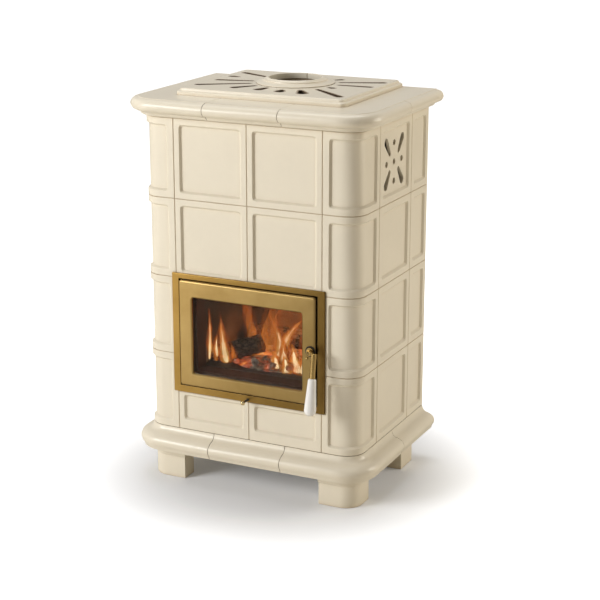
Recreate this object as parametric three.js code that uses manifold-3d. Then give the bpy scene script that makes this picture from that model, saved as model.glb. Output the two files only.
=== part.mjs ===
// Tiled stove: a cast firebox clad in relief tiles, with a glazed door, ceramic cornices and feet.
// Millimetres, +Z up. X runs across the front, the front faces -Y and the flat rear faces +Y.
import * as THREE from 'three';
import { mergeVertices } from 'three/addons/utils/BufferGeometryUtils.js';
import Module from 'manifold-3d';

const wasm = await Module();
wasm.setup();

// ---------------------------------------------------------------- driving dimensions
const seatGap = 0.3; // between pieces that rest on or in each other

const plan = {
  tileWidth: 200, // one full front or side tile
  cornerFront: 96, // front arm of a corner tile
  cornerSide: 120, // side arm of a corner tile
  rearTile: 112, // the narrow tile at the rear of each side
  cornerRadius: 50,
};
const tile = {
  height: 200,
  rows: 4,
  depth: 38, // face to the back of the hollow rim
  plate: 14, // face to the hollow behind it
  rim: 12, // wall round the hollow
  joint: 0.3, // between the rims of neighbouring tiles
  edge: 1.4, // softened outer edge, which shows as the joint line
  border: 15,
  cornerBorder: 17,
  recess: 6, // field below the border
  slope: 5, // run of the sloping field wall
  fieldRadius: 8,
};
const vent = {
  slotStart: [27.6, 22.8], // centre of the narrow end, from the tile centre
  slotEnd: [50.4, 53.2],
  startRadius: 6,
  endRadius: 11,
  holeRadius: 8,
  holeReach: 47.5,
};
const foot = {
  height: 80,
  inner: 188,
  outer: 292,
  front: 4,
  frontReach: 90,
  rearStart: 300,
  rearEnd: 378,
  thickness: 50,
  radius: 46,
  collar: 20,
  collarProud: 1.8,
  edge: 1.5,
};
const baseCornice = { height: 60, coveRun: 17, coveDrop: 18, stepDrop: 1.8, noseCentre: 17, noseRadius: 18.2 };
const topCornice = {
  height: 46,
  coveRun: 16,
  coveRise: 10,
  fillet: 3,
  noseCentre: 22,
  noseRun: 16.6,
  noseRise: 15.5,
  rim: 2,
};
const cornice = {
  frontJoint: 100, // joints either side of the front centre piece
  sideJoint: 220, // joint along each side, from the front face
  joint: 0.8,
  flangeInset: 91, // inner edge of the bearing flange, from the tile face
  flangeThickness: 20,
  wall: 41, // hollow side of the moulding, from the tile face
};
const plate = {
  halfWidth: 228,
  front: 60,
  rearSetback: 2,
  thickness: 16.7,
  radius: 15,
  steps: [[0, 0], [0, 0.45], [2.2, 0.58], [6.4, 0.62], [8, 0.9], [10, 1]], // inset, share of the thickness
};
const flue = {
  fromFront: 270,
  bore: 67,
  ringRadii: [99, 92, 80, 73], // stepped outside, bottom to top
  ringHeight: 14,
  slit: 1.6,
  pipeRadius: 65,
  pipeWall: 2.5,
  flangeRadius: 84,
  flangeThickness: 3,
  topRecess: 10, // pipe end below the top plate's face
};
// Pierced rays round the flue: angle from the front (degrees, + to the right), start and end radius,
// and the half width at the outer end.
const rays = [
  [-136, 107, 129, 6], [-116, 115, 220, 6.5], [-97, 172, 202, 6.5], [-77, 109, 207, 7], [-56, 112, 251, 7],
  [-35, 112, 181, 8.5], [-12, 112, 158, 10], [11, 126, 164, 11.5], [31, 128, 189, 12.5], [50, 126, 260, 7.5],
  [69, 117, 139, 6.5], [92, 114, 206, 6.5], [113, 109, 226, 7], [136, 106, 129, 6.5],
];
const rayStart = 3.6; // half width of each ray at its inner end

const surround = {
  halfWidth: 210,
  bottom: 102, // heights from here on are taken from the foot of the tiles
  top: 413,
  proud: 5,
  openingHalf: 191,
  openingBottom: 120,
  openingTop: 400,
  collarWall: 6,
  collarDepth: 30,
  bevel: 1,
  radius: 2,
  openingRadius: 0.6,
};
const door = {
  sideGap: 3,
  bottomGap: 3,
  topGap: 2,
  front: 12, // face in front of the tiles
  back: 4, // back behind the face of the tiles
  round: 6,
  glassHalf: 152,
  glassBottom: 156,
  glassTop: 355,
  glassRadius: 5,
  glassBevel: 3,
  rebate: 8,
  glassThickness: 4,
  glassBack: 0.3,
  retainer: 2.6,
  sealRadius: 4.7,
  sealHalf: 165,
  sealBottom: 129.5,
  sealTop: 390,
};
const hinge = { x: -174, y: -1, pinRadius: 3, clearance: 0.3, engagement: 14 };
const handle = {
  pivotX: 176,
  pivotZ: 262,
  spindleRadius: 5,
  rodRadius: 7,
  rodEase: 1.2,
  armRadius: 5,
  armReach: 10,
  armDrop: 10, // below the top of the rod
  rodX: 196,
  rodTop: 266,
  rodY: -35,
  rodBottom: 206,
  lean: 0.16, // outward run per millimetre down
  gripLength: 92,
  gripTop: 10,
  gripBottom: 15,
  bossRadius: 10,
  bossDepth: 5,
  hookReach: 13,
  hookThickness: 5,
  hookWidth: 9,
};
const air = {
  z: 109,
  rodRadius: 3,
  knobRadius: 6.2,
  knobY: -31,
  holeClearance: 0.6,
  shutterHalf: 35,
  shutterStart: 90,
  shutterEnd: 160,
  shutterThickness: 3,
  inletHalf: 26,
  inletStart: 100,
  inletEnd: 150,
};
const firebox = {
  half: 186,
  bottom: 118,
  top: 520,
  back: 350,
  wall: 5,
  facePlate: 6, // front plate, held in the surround's collar
  faceStart: 14.3,
  throatHalf: 151,
  throatBottom: 158,
  throatTop: 358,
  throatWall: 5,
  chamberFront: 58,
  panHalf: 128,
  panBottom: 134,
  panTop: 153,
  railDrop: 4,
};
const lining = {
  thickness: 22,
  top: 400,
  hearth: 6,
  baffle: 22,
  baffleFront: 130,
  chamfer: 2,
  grateHalfX: 62,
  grateFront: 130,
  grateBack: 250,
  grateLedge: 6,
  grateBars: 9,
  grateRim: 9,
  grateSlotShare: 0.5,
};
const pan = { wall: 1.6, clearance: 1.2, depth: 250 };
const chassis = { clearance: 5, setback: 3.5, sheet: 3, uprightAt: 150, uprightFlange: 30, rearClearance: 17 };
const backPanel = {
  setback: 1,
  sheet: 2,
  fold: 14,
  slotHalf: 60,
  slotHeight: 7,
  slotPitch: 18,
  slots: 4,
  slotInset: 60,
};

// ---------------------------------------------------------------- derived sizes
const halfWidth = plan.tileWidth + plan.cornerFront;
const chassisHalf = halfWidth - tile.depth - chassis.clearance;
const rearPlane = plan.cornerSide + plan.tileWidth + plan.rearTile;
const tileBase = foot.height + baseCornice.height;
const tilesTop = tileBase + tile.rows * tile.height;
const plateBase = tilesTop + topCornice.height + seatGap;
const plateTop = plateBase + plate.thickness;
const up = (height) => tileBase + height; // height above the foot of the tiles
const openingBox = {
  s0: -surround.openingHalf,
  s1: surround.openingHalf,
  z0: up(surround.openingBottom),
  z1: up(surround.openingTop),
};
const doorBox = {
  s0: openingBox.s0 + door.sideGap,
  s1: openingBox.s1 - door.sideGap,
  z0: openingBox.z0 + door.bottomGap,
  z1: openingBox.z1 - door.topGap,
};
const glassBox = { s0: -door.glassHalf, s1: door.glassHalf, z0: up(door.glassBottom), z1: up(door.glassTop) };

// ---------------------------------------------------------------- solids
function surface(points, triangles) {
  const geometry = new THREE.BufferGeometry();
  geometry.setAttribute('position', new THREE.Float32BufferAttribute(points.flat(), 3));
  geometry.setIndex(triangles);
  return facingOut(geometry);
}

function facingOut(geometry) {
  const p = geometry.getAttribute('position');
  const index = geometry.getIndex().array;
  const [a, b, c] = [new THREE.Vector3(), new THREE.Vector3(), new THREE.Vector3()];
  let volume = 0;
  for (let i = 0; i < index.length; i += 3) {
    a.fromBufferAttribute(p, index[i]);
    b.fromBufferAttribute(p, index[i + 1]);
    c.fromBufferAttribute(p, index[i + 2]);
    volume += a.dot(b.cross(c));
  }
  if (volume < 0) {
    geometry.setIndex(Array.from(index).reverse());
  }
  return geometry;
}

function welded(geometry) {
  const bare = geometry.clone();
  bare.deleteAttribute('normal');
  bare.deleteAttribute('uv');
  return mergeVertices(bare, 1e-4);
}

function toManifold(geometry) {
  const merged = facingOut(welded(geometry));
  return new wasm.Manifold(new wasm.Mesh({
    numProp: 3,
    vertProperties: Float32Array.from(merged.getAttribute('position').array),
    triVerts: Uint32Array.from(merged.getIndex().array),
  }));
}

function toGeometry(solid) {
  const mesh = solid.getMesh();
  const geometry = new THREE.BufferGeometry();
  geometry.setAttribute('position', new THREE.Float32BufferAttribute(mesh.vertProperties, 3));
  geometry.setIndex(Array.from(mesh.triVerts));
  return geometry;
}

// Joins the first list of geometries and cuts the second list out of them.
function carve(joined, cuts = []) {
  const body = joined.map(toManifold).reduce((sum, solid) => sum.add(solid));
  return toGeometry(cuts.map(toManifold).reduce((rest, solid) => rest.subtract(solid), body));
}

function common(geometry, other) {
  return toGeometry(toManifold(geometry).intersect(toManifold(other)));
}

function mirrored(geometry) {
  const copy = welded(geometry);
  copy.scale(-1, 1, 1);
  return facingOut(copy);
}

function box(x0, x1, y0, y1, z0, z1) {
  const geometry = new THREE.BoxGeometry(x1 - x0, y1 - y0, z1 - z0);
  return geometry.translate((x0 + x1) / 2, (y0 + y1) / 2, (z0 + z1) / 2);
}

function cylinderZ(x, y, radius, z0, z1, sides = 20) {
  const geometry = new THREE.CylinderGeometry(radius, radius, z1 - z0, sides);
  return geometry.rotateX(Math.PI / 2).translate(x, y, (z0 + z1) / 2);
}

function cylinderY(x, z, radius, y0, y1, sides = 20) {
  const geometry = new THREE.CylinderGeometry(radius, radius, y1 - y0, sides);
  return geometry.translate(x, (y0 + y1) / 2, z);
}

function turned(profile, x, y, sides) {
  const points = [...profile, profile[0]].map(([r, z]) => new THREE.Vector2(r, z));
  return new THREE.LatheGeometry(points, sides).rotateX(Math.PI / 2).translate(x, y, 0);
}

function polygonShape(points) {
  return new THREE.Shape(points.map(([x, y]) => new THREE.Vector2(x, y)));
}

function extruded(shape, depth, curveSegments = 8) {
  return new THREE.ExtrudeGeometry(shape, { depth, bevelEnabled: false, curveSegments });
}

// An outline drawn in X and Z, pushed along Y.
function alongY(shape, y0, y1, curveSegments) {
  return extruded(shape, y1 - y0, curveSegments).rotateX(Math.PI / 2).translate(0, y1, 0);
}

// ---------------------------------------------------------------- relief shells
// A ring is a rounded rectangle across the face: `s` runs along the face and `depth` goes in from it.
const cornerSteps = 2;

function ringColumns({ box: b, inset, radius }, bends) {
  const left = [];
  const right = [];
  for (let k = 0; k <= cornerSteps; k += 1) {
    const angle = (k / cornerSteps) * Math.PI / 2;
    const run = inset + radius * (1 - Math.cos(angle));
    const rise = inset + radius * (1 - Math.sin(angle));
    left.push([b.s0 + run, b.z0 + rise, b.z1 - rise]);
    right.unshift([b.s1 - run, b.z0 + rise, b.z1 - rise]);
  }
  return [...left, ...bends.map((s) => [s, b.z0 + inset, b.z1 - inset]), ...right];
}

// Joins rings into one closed surface: capped at both ends, or looped back to the first ring.
function ringSurface(rings, place, { bends = [], looped = false } = {}) {
  const points = [];
  const triangles = [];
  const quad = (a, b, c, d) => triangles.push(a, b, c, a, c, d);
  const loops = rings.map((ring) => {
    const columns = ringColumns(ring, bends);
    const start = points.length;
    columns.forEach(([s, , high]) => points.push(place(s, high, ring.depth)));
    [...columns].reverse().forEach(([s, low]) => points.push(place(s, low, ring.depth)));
    return { start, count: 2 * columns.length };
  });
  const last = loops.length - 1;
  loops.forEach((loop, i) => {
    if (i === last && !looped) return;
    const next = loops[(i + 1) % loops.length];
    for (let k = 0; k < loop.count; k += 1) {
      const n = (k + 1) % loop.count;
      quad(loop.start + k, next.start + k, next.start + n, loop.start + n);
    }
  });
  const cap = ({ start, count }, flip) => {
    for (let k = 0; k < count / 2 - 1; k += 1) {
      const corners = [start + k, start + k + 1, start + count - 2 - k, start + count - 1 - k];
      quad(...(flip ? corners.reverse() : corners));
    }
  };
  if (!looped) {
    cap(loops[0], false);
    cap(loops[last], true);
  }
  return surface(points, triangles);
}

const onFront = (s, z, depth) => [s, depth, z];
const onSide = (start) => (s, z, depth) => [halfWidth - depth, start + s, z];

// Where a corner tile's face runs: along the front, round the corner and back along the side.
const cornerStraight = plan.cornerFront - plan.cornerRadius;
const cornerArc = plan.cornerRadius * Math.PI / 2;
const cornerLength = cornerStraight + cornerArc + plan.cornerSide - plan.cornerRadius;
const cornerBends = Array.from({ length: 6 }, (_, i) => cornerStraight + (cornerArc * i) / 5);

function onCorner(s, z, depth) {
  const past = s - cornerStraight;
  if (past <= 0) return [plan.tileWidth + s, depth, z];
  if (past >= cornerArc) return [halfWidth - depth, plan.cornerRadius + past - cornerArc, z];
  const angle = past / plan.cornerRadius;
  const radius = plan.cornerRadius - depth;
  const centre = [halfWidth - plan.cornerRadius, plan.cornerRadius];
  return [centre[0] + radius * Math.sin(angle), centre[1] - radius * Math.cos(angle), z];
}

// ---------------------------------------------------------------- tiles
function tileShell(cell, field, place, bends = []) {
  const half = tile.joint / 2;
  const body = { s0: cell.s0 + half, s1: cell.s1 - half, z0: cell.z0 + half, z1: cell.z1 - half };
  const rings = [
    { box: field, inset: tile.slope, depth: tile.recess, radius: tile.fieldRadius - 2 },
    { box: field, inset: 0, depth: 0, radius: tile.fieldRadius },
    { box: body, inset: tile.edge, depth: 0, radius: tile.edge },
    { box: body, inset: 0, depth: tile.edge, radius: tile.edge },
    { box: body, inset: 0, depth: tile.depth, radius: tile.edge },
    { box: body, inset: tile.rim, depth: tile.depth, radius: tile.edge },
    { box: body, inset: tile.rim, depth: tile.plate, radius: tile.edge },
  ];
  return ringSurface(rings, place, { bends });
}

function cellAt(s0, s1, row, rows = 1) {
  return { s0, s1, z0: up(row * tile.height), z1: up((row + rows) * tile.height) };
}

function fieldIn(cell, border) {
  return { s0: cell.s0 + border, s1: cell.s1 - border, z0: cell.z0 + border, z1: cell.z1 - border };
}

// Full front tile. Over the door its lower edge is cut back behind the surround.
function frontTile(column, row) {
  const start = column === 'left' ? -plan.tileWidth : 0;
  const cell = cellAt(start, start + plan.tileWidth, row);
  const field = fieldIn(cell, tile.border);
  const overDoor = up(surround.openingTop + surround.collarWall + 2);
  cell.z0 = Math.max(cell.z0, overDoor);
  return tileShell(cell, field, onFront);
}

// Short tile under the door, with a deep lower border.
function shortTile(column) {
  const start = column === 'left' ? -plan.tileWidth : 0;
  const cell = cellAt(start, start + plan.tileWidth, 0);
  cell.z1 = up(surround.bottom - 2);
  const field = { s0: cell.s0 + tile.border, s1: cell.s1 - tile.border, z0: cell.z0 + 25, z1: cell.z1 - 7 };
  return tileShell(cell, field, onFront);
}

function cornerTile(row) {
  const cell = cellAt(0, cornerLength, row);
  return tileShell(cell, fieldIn(cell, tile.cornerBorder), onCorner, cornerBends);
}

// Tiles of one column, bedded on each other with recessed pointing.
function tileColumn(width, start, rows) {
  const place = onSide(start);
  const tiles = [];
  for (let row = 0; row < rows; row += 1) {
    const cell = cellAt(0, width, row);
    tiles.push(tileShell(cell, fieldIn(cell, tile.cornerBorder), place));
  }
  for (let row = 1; row < rows; row += 1) {
    const seam = { s0: tile.edge * 2, s1: width - tile.edge * 2, z0: up(row * tile.height) - 3, z1: up(row * tile.height) + 3 };
    const bed = [tile.edge * 2, tile.depth - tile.edge].map((depth) => ({ box: seam, inset: 0, depth, radius: 1 }));
    tiles.push(ringSurface(bed, place));
  }
  return carve(tiles);
}

// The outline round two circles of different radius, along a line.
function teardrop([x0, y0], [x1, y1], r0, r1) {
  const along = Math.atan2(y1 - y0, x1 - x0);
  const lean = Math.acos((r0 - r1) / Math.hypot(x1 - x0, y1 - y0));
  const shape = new THREE.Shape();
  shape.absarc(x1, y1, r1, along - lean, along + lean, false);
  shape.absarc(x0, y0, r0, along + lean, along - lean + 2 * Math.PI, false);
  return shape;
}

function ventTile() {
  const cell = cellAt(0, plan.tileWidth, tile.rows - 1);
  const centre = [plan.cornerSide + plan.tileWidth / 2, (cell.z0 + cell.z1) / 2 - 4];
  const shell = tileShell(cell, fieldIn(cell, tile.cornerBorder), onSide(plan.cornerSide));
  const shapes = [];
  [[1, 1], [1, -1], [-1, 1], [-1, -1]].forEach(([sx, sz]) => {
    const from = [sx * vent.slotStart[0], sz * vent.slotStart[1]];
    const to = [sx * vent.slotEnd[0], sz * vent.slotEnd[1]];
    shapes.push(teardrop(from, to, vent.startRadius, vent.endRadius));
  });
  [[0, 0], [1, 0], [-1, 0], [0, 1], [0, -1]].forEach(([sx, sz]) => {
    const hole = new THREE.Shape();
    hole.absarc(sx * vent.holeReach, sz * vent.holeReach, vent.holeRadius, 0, 2 * Math.PI, false);
    shapes.push(hole);
  });
  const cuts = shapes.map((shape) => extruded(shape, tile.depth, 4)
    .rotateX(Math.PI / 2)
    .rotateZ(Math.PI / 2)
    .translate(halfWidth - tile.depth + 5, centre[0], centre[1]));
  return carve([shell], cuts);
}

// ---------------------------------------------------------------- cornices
const cornerSegments = 6;

// The stove's outline grown by `out`, open to the rear, then back along the hollow inside it.
function ribbonOutline(out, inner) {
  const right = [];
  const radius = plan.cornerRadius + out;
  const centre = [halfWidth - plan.cornerRadius, plan.cornerRadius];
  for (let k = 0; k <= cornerSegments; k += 1) {
    const angle = (k / cornerSegments) * Math.PI / 2;
    right.push([centre[0] + radius * Math.sin(angle), centre[1] - radius * Math.cos(angle)]);
  }
  const left = right.map(([x, y]) => [-x, y]).reverse();
  const x = halfWidth - inner;
  return [
    [-halfWidth - out, rearPlane], ...left, ...right, [halfWidth + out, rearPlane],
    [x, rearPlane], [x, inner], [-x, inner], [-x, rearPlane],
  ];
}

// Joins outlines of equal length, one above the other, into a closed solid.
function stacked(levels) {
  const points = [];
  const triangles = [];
  const count = levels[0].outline.length;
  levels.forEach(({ outline, z }) => outline.forEach(([x, y]) => points.push([x, y, z])));
  for (let level = 0; level < levels.length - 1; level += 1) {
    const low = level * count;
    const high = low + count;
    for (let k = 0; k < count; k += 1) {
      const n = (k + 1) % count;
      triangles.push(low + k, low + n, high + n, low + k, high + n, high + k);
    }
  }
  const capOf = ({ outline }) => THREE.ShapeUtils.triangulateShape(
    outline.map(([x, y]) => new THREE.Vector2(x, y)), []);
  const ccw = THREE.ShapeUtils.area(levels[0].outline.map(([x, y]) => new THREE.Vector2(x, y))) > 0;
  const top = (levels.length - 1) * count;
  const wind = ([a, b, c], reverse) => (reverse === ccw ? [a, c, b] : [a, b, c]);
  capOf(levels[0]).forEach((face) => triangles.push(...wind(face, true)));
  capOf(levels[levels.length - 1]).forEach((face) => triangles.push(...wind(face, false).map((i) => i + top)));
  if (!ccw) {
    const walls = (levels.length - 1) * count * 6;
    for (let i = 0; i < walls; i += 3) {
      [triangles[i + 1], triangles[i + 2]] = [triangles[i + 2], triangles[i + 1]];
    }
  }
  return surface(points, triangles);
}

function arcPoints(cx, cz, rx, rz, from, to, steps) {
  return Array.from({ length: steps + 1 }, (_, i) => {
    const angle = THREE.MathUtils.degToRad(from + ((to - from) * i) / steps);
    return [cx + rx * Math.cos(angle), cz + rz * Math.sin(angle)];
  });
}

// Moulding points as [distance out from the tile face, height], bottom to top.
function baseProfile() {
  const top = baseCornice.height - seatGap;
  const step = top - baseCornice.coveDrop - baseCornice.stepDrop;
  const noseCentre = step - baseCornice.noseRadius;
  return [
    [baseCornice.noseCentre + 10, 0],
    ...arcPoints(baseCornice.noseCentre, noseCentre, baseCornice.noseRadius, baseCornice.noseRadius, -48, 90, 7),
    ...arcPoints(baseCornice.coveRun, top, baseCornice.coveRun, baseCornice.coveDrop, 270, 180, 4),
  ];
}

function topProfile() {
  const nose = topCornice.coveRise + topCornice.fillet + topCornice.noseRise;
  return [
    ...arcPoints(0, topCornice.coveRise, topCornice.coveRun, topCornice.coveRise, 270, 355, 4),
    ...arcPoints(topCornice.noseCentre, nose, topCornice.noseRun, topCornice.noseRise, -90, 90, 8),
    [topCornice.noseCentre - 3, topCornice.height - topCornice.rim / 2],
    [topCornice.noseCentre - 3, topCornice.height],
  ];
}

// A whole cornice, hollow behind the moulding and with an inward flange at its top.
function corniceRing(profile, base, height) {
  const flangeFoot = height - cornice.flangeThickness;
  const below = profile.filter(([, z]) => z < flangeFoot - 0.5);
  const above = profile.filter(([, z]) => z > flangeFoot + 0.5);
  const [a, b] = [below[below.length - 1], above[0]];
  const out = a[0] + ((b[0] - a[0]) * (flangeFoot - a[1])) / (b[1] - a[1]);
  const level = (z, reach, inner) => ({ z: base + z, outline: ribbonOutline(reach, inner) });
  return stacked([
    ...below.map(([reach, z]) => level(z, reach, cornice.wall)),
    level(flangeFoot, out, cornice.wall),
    level(flangeFoot, out, cornice.flangeInset),
    ...above.map(([reach, z]) => level(z, reach, cornice.flangeInset)),
  ]);
}

function cornicePieces(name, profile, base, height) {
  const ring = corniceRing(profile, base, height);
  const half = cornice.joint / 2;
  const far = 2 * halfWidth;
  const [z0, z1] = [base - 1, base + height + 1];
  const frontRight = common(ring, box(cornice.frontJoint + half, far, -far, cornice.sideJoint - half, z0, z1));
  const rearRight = common(ring, box(0, far, cornice.sideJoint + half, far, z0, z1));
  const centreEdge = cornice.frontJoint - half;
  return {
    [`${name}_front_centre`]: common(ring, box(-centreEdge, centreEdge, -far, cornice.sideJoint, z0, z1)),
    [`${name}_front_left`]: mirrored(frontRight),
    [`${name}_front_right`]: frontRight,
    [`${name}_rear_left`]: mirrored(rearRight),
    [`${name}_rear_right`]: rearRight,
  };
}

// ---------------------------------------------------------------- top plate and flue
function roundedRectangle(halfX, y0, y1, radius, steps = 4) {
  const corner = (cx, cy, from) => arcPoints(cx, cy, radius, radius, from, from + 90, steps);
  return [
    ...corner(halfX - radius, y0 + radius, 270), ...corner(halfX - radius, y1 - radius, 0),
    ...corner(radius - halfX, y1 - radius, 90), ...corner(radius - halfX, y0 + radius, 180),
  ];
}

function rayCut([degrees, from, to, half]) {
  const shape = teardrop([0, from + rayStart], [0, to - half], rayStart, half);
  return extruded(shape, 2 * plate.thickness, 3)
    .rotateZ(Math.PI + THREE.MathUtils.degToRad(degrees))
    .translate(0, flue.fromFront, plateBase - plate.thickness / 2);
}

function topPlate() {
  const rear = rearPlane - plate.rearSetback;
  const levels = plate.steps.map(([inset, share]) => ({
    z: plateBase + share * plate.thickness,
    outline: roundedRectangle(plate.halfWidth - inset, plate.front + inset, rear - inset, plate.radius - inset / 2),
  }));
  const bore = cylinderZ(0, flue.fromFront, flue.bore, plateBase - 5, plateTop + 5, 36);
  return carve([stacked(levels)], [bore, ...rays.map(rayCut)]);
}

function flueRing() {
  const base = plateTop + seatGap;
  const [foot0, foot1, collar, lip] = flue.ringRadii;
  const rise = (share) => base + share * flue.ringHeight;
  const profile = [
    [flue.bore, base], [foot0, base], [foot0, rise(0.12)], [foot1, rise(0.3)], [collar + 3, rise(0.4)],
    [collar, rise(0.55)], [collar, rise(0.72)], [lip + 2, rise(0.8)], [lip, rise(0.94)], [lip - 1.5, rise(1)],
    [flue.bore + 1, rise(1)], [flue.bore, rise(0.94)],
  ];
  const ring = turned(profile, 0, flue.fromFront, 36);
  const slitEnd = flue.fromFront + flue.ringRadii[0] + 5;
  return carve([ring], [box(-flue.slit / 2, flue.slit / 2, flue.fromFront, slitEnd, base - 1, rise(1) + 1)]);
}

function fluePipe() {
  const base = up(firebox.top) + seatGap;
  const inner = flue.pipeRadius - flue.pipeWall;
  const end = plateTop - flue.topRecess;
  const profile = [
    [inner, base], [flue.flangeRadius, base], [flue.flangeRadius, base + flue.flangeThickness],
    [flue.pipeRadius, base + flue.flangeThickness], [flue.pipeRadius, end], [inner, end],
  ];
  return turned(profile, 0, flue.fromFront, 32);
}

// ---------------------------------------------------------------- feet
function offsetOutline(points, grow) {
  const count = points.length;
  return points.map(([x, y], i) => {
    const [px, py] = points[(i + count - 1) % count];
    const [nx, ny] = points[(i + 1) % count];
    const before = new THREE.Vector2(x - px, y - py).normalize();
    const after = new THREE.Vector2(nx - x, ny - y).normalize();
    const n0 = new THREE.Vector2(before.y, -before.x);
    const n1 = new THREE.Vector2(after.y, -after.x);
    const lengthen = grow / (1 + n0.dot(n1));
    return [x + (n0.x + n1.x) * lengthen, y + (n0.y + n1.y) * lengthen];
  });
}

function footSolid(outline) {
  const neck = foot.height - seatGap - foot.collar;
  const levels = [
    [0, -foot.edge - foot.collarProud], [foot.edge, -foot.collarProud], [neck - 2, -foot.collarProud],
    [neck, 0], [foot.height - seatGap, 0],
  ];
  return stacked(levels.map(([z, grow]) => ({ z, outline: offsetOutline(outline, grow) })));
}

function frontFoot() {
  const centre = [foot.outer - foot.radius, foot.front + foot.radius];
  const round = arcPoints(...centre, foot.radius, foot.radius, 270, 360, 6);
  const [insideX, insideY] = [foot.outer - foot.thickness, foot.front + foot.thickness];
  return footSolid([
    [foot.inner, foot.front], ...round, [foot.outer, foot.frontReach], [insideX, foot.frontReach],
    [insideX, insideY], [foot.inner, insideY],
  ]);
}

function rearFoot() {
  const insideX = foot.outer - foot.thickness;
  return footSolid([
    [insideX, foot.rearStart], [foot.outer, foot.rearStart], [foot.outer, foot.rearEnd], [insideX, foot.rearEnd],
  ]);
}

// ---------------------------------------------------------------- firebox
function fireboxBody() {
  const f = firebox;
  const face = ringSurface([f.faceStart, f.faceStart + f.facePlate].map((depth) => (
    { box: grown(openingBox, -seatGap), inset: 0, depth, radius: surround.openingRadius })), onFront);
  const duct = box(-f.throatHalf - f.throatWall, f.throatHalf + f.throatWall, f.faceStart, f.chamberFront,
    up(f.panBottom - f.throatWall), up(f.throatTop + f.throatWall));
  const chamber = box(-f.half, f.half, f.chamberFront - f.wall, f.back, up(f.bottom), up(f.top));
  const railGap = air.shutterHalf + 2 * seatGap;
  const railFoot = f.bottom - 2 * seatGap - air.shutterThickness;
  const rail = (side) => {
    const reach = [side * railGap, side * (railGap + f.railDrop)].sort((a, b) => a - b);
    const lip = [side * (railGap - f.railDrop), side * (railGap + f.railDrop)].sort((a, b) => a - b);
    const [y0, y1] = [air.shutterStart - 30, air.shutterEnd + 10];
    return [
      box(...reach, y0, y1, up(railFoot - 1), up(f.bottom + 1)),
      box(...lip, y0, y1, up(railFoot - 3), up(railFoot)),
    ];
  };
  const throat = box(-f.throatHalf, f.throatHalf, 0, f.chamberFront + 1, up(f.throatBottom), up(f.throatTop));
  const inside = box(-f.half + f.wall, f.half - f.wall, f.chamberFront, f.back - f.wall,
    up(f.panTop), up(f.top - f.wall));
  const panSpace = box(-f.panHalf, f.panHalf, 0, f.back - f.wall, up(f.panBottom), up(f.panTop + 1));
  const panPassage = box(-f.panHalf, f.panHalf, 0, f.chamberFront, up(f.panBottom), up(f.panTop));
  const flueHole = cylinderZ(0, flue.fromFront, flue.pipeRadius - flue.pipeWall, up(f.top - f.wall - 5), up(f.top + 5), 32);
  const inlet = box(-air.inletHalf, air.inletHalf, air.inletStart, air.inletEnd, up(f.bottom - 1), up(f.panBottom + 1));
  const deepPan = common(panSpace, box(-f.half, f.half, f.chamberFront, f.back, up(f.bottom), up(f.panTop + 1)));
  return carve([face, duct, chamber, ...rail(1), ...rail(-1)], [throat, inside, deepPan, panPassage, flueHole, inlet]);
}

function chamferedSlab(x0, x1, y0, y1, z0, z1) {
  const c = lining.chamfer;
  const outline = polygonShape([
    [x0 + c, y0], [x1 - c, y0], [x1, y0 + c], [x1, y1 - c], [x1 - c, y1], [x0 + c, y1], [x0, y1 - c], [x0, y0 + c],
  ]);
  return extruded(outline, z1 - z0).translate(0, 0, z0);
}

const chamberInner = {
  half: firebox.half - firebox.wall - seatGap,
  front: firebox.chamberFront + seatGap,
  back: firebox.back - firebox.wall - seatGap,
};
const hearthBase = up(firebox.panTop) + seatGap;
const hearthTop = hearthBase + lining.hearth;

function sideBrick() {
  return chamferedSlab(chamberInner.half - lining.thickness, chamberInner.half, chamberInner.front, chamberInner.back,
    hearthTop + seatGap, up(lining.top));
}

function backBrick() {
  const half = chamberInner.half - lining.thickness - seatGap;
  return chamferedSlab(-half, half, chamberInner.back - lining.thickness, chamberInner.back,
    hearthTop + seatGap, up(lining.top));
}

function bafflePlate() {
  const base = up(lining.top) + seatGap;
  return chamferedSlab(-chamberInner.half, chamberInner.half, lining.baffleFront, chamberInner.back,
    base, base + lining.baffle);
}

function hearthPlate() {
  const c = chamberInner;
  const slab = box(-c.half, c.half, c.front, c.back, hearthBase, hearthTop);
  const l = lining;
  const ledgeHalf = l.grateHalfX - l.grateLedge;
  const through = box(-ledgeHalf, ledgeHalf, l.grateFront + l.grateLedge, l.grateBack - l.grateLedge,
    hearthBase - 1, hearthTop + 1);
  const seat = box(-l.grateHalfX, l.grateHalfX, l.grateFront, l.grateBack, hearthBase + l.hearth / 3, hearthTop + 1);
  return carve([slab], [through, seat]);
}

function grate() {
  const l = lining;
  const half = l.grateHalfX - 2 * seatGap;
  const [y0, y1] = [l.grateFront + 2 * seatGap, l.grateBack - 2 * seatGap];
  const base = hearthBase + l.hearth / 3 + seatGap;
  const pitch = (2 * (half - l.grateRim)) / l.grateBars;
  const width = pitch * l.grateSlotShare;
  const slots = Array.from({ length: l.grateBars }, (_, i) => {
    const x = -half + l.grateRim + (i + 0.5) * pitch;
    return box(x - width / 2, x + width / 2, y0 + l.grateRim, y1 - l.grateRim, base - 1, hearthTop + 1);
  });
  return carve([box(-half, half, y0, y1, base, hearthTop)], slots);
}

function ashPan() {
  const half = firebox.panHalf - pan.clearance;
  const [z0, z1] = [up(firebox.panBottom) + seatGap, up(firebox.panTop) - pan.clearance];
  const front = firebox.faceStart + 2;
  const tray = box(-half, half, front, front + pan.depth, z0, z1);
  const hollow = box(-half + pan.wall, half - pan.wall, front + 3, front + pan.depth - pan.wall, z0 + pan.wall, z1 + 1);
  return carve([tray], [hollow]);
}

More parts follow.
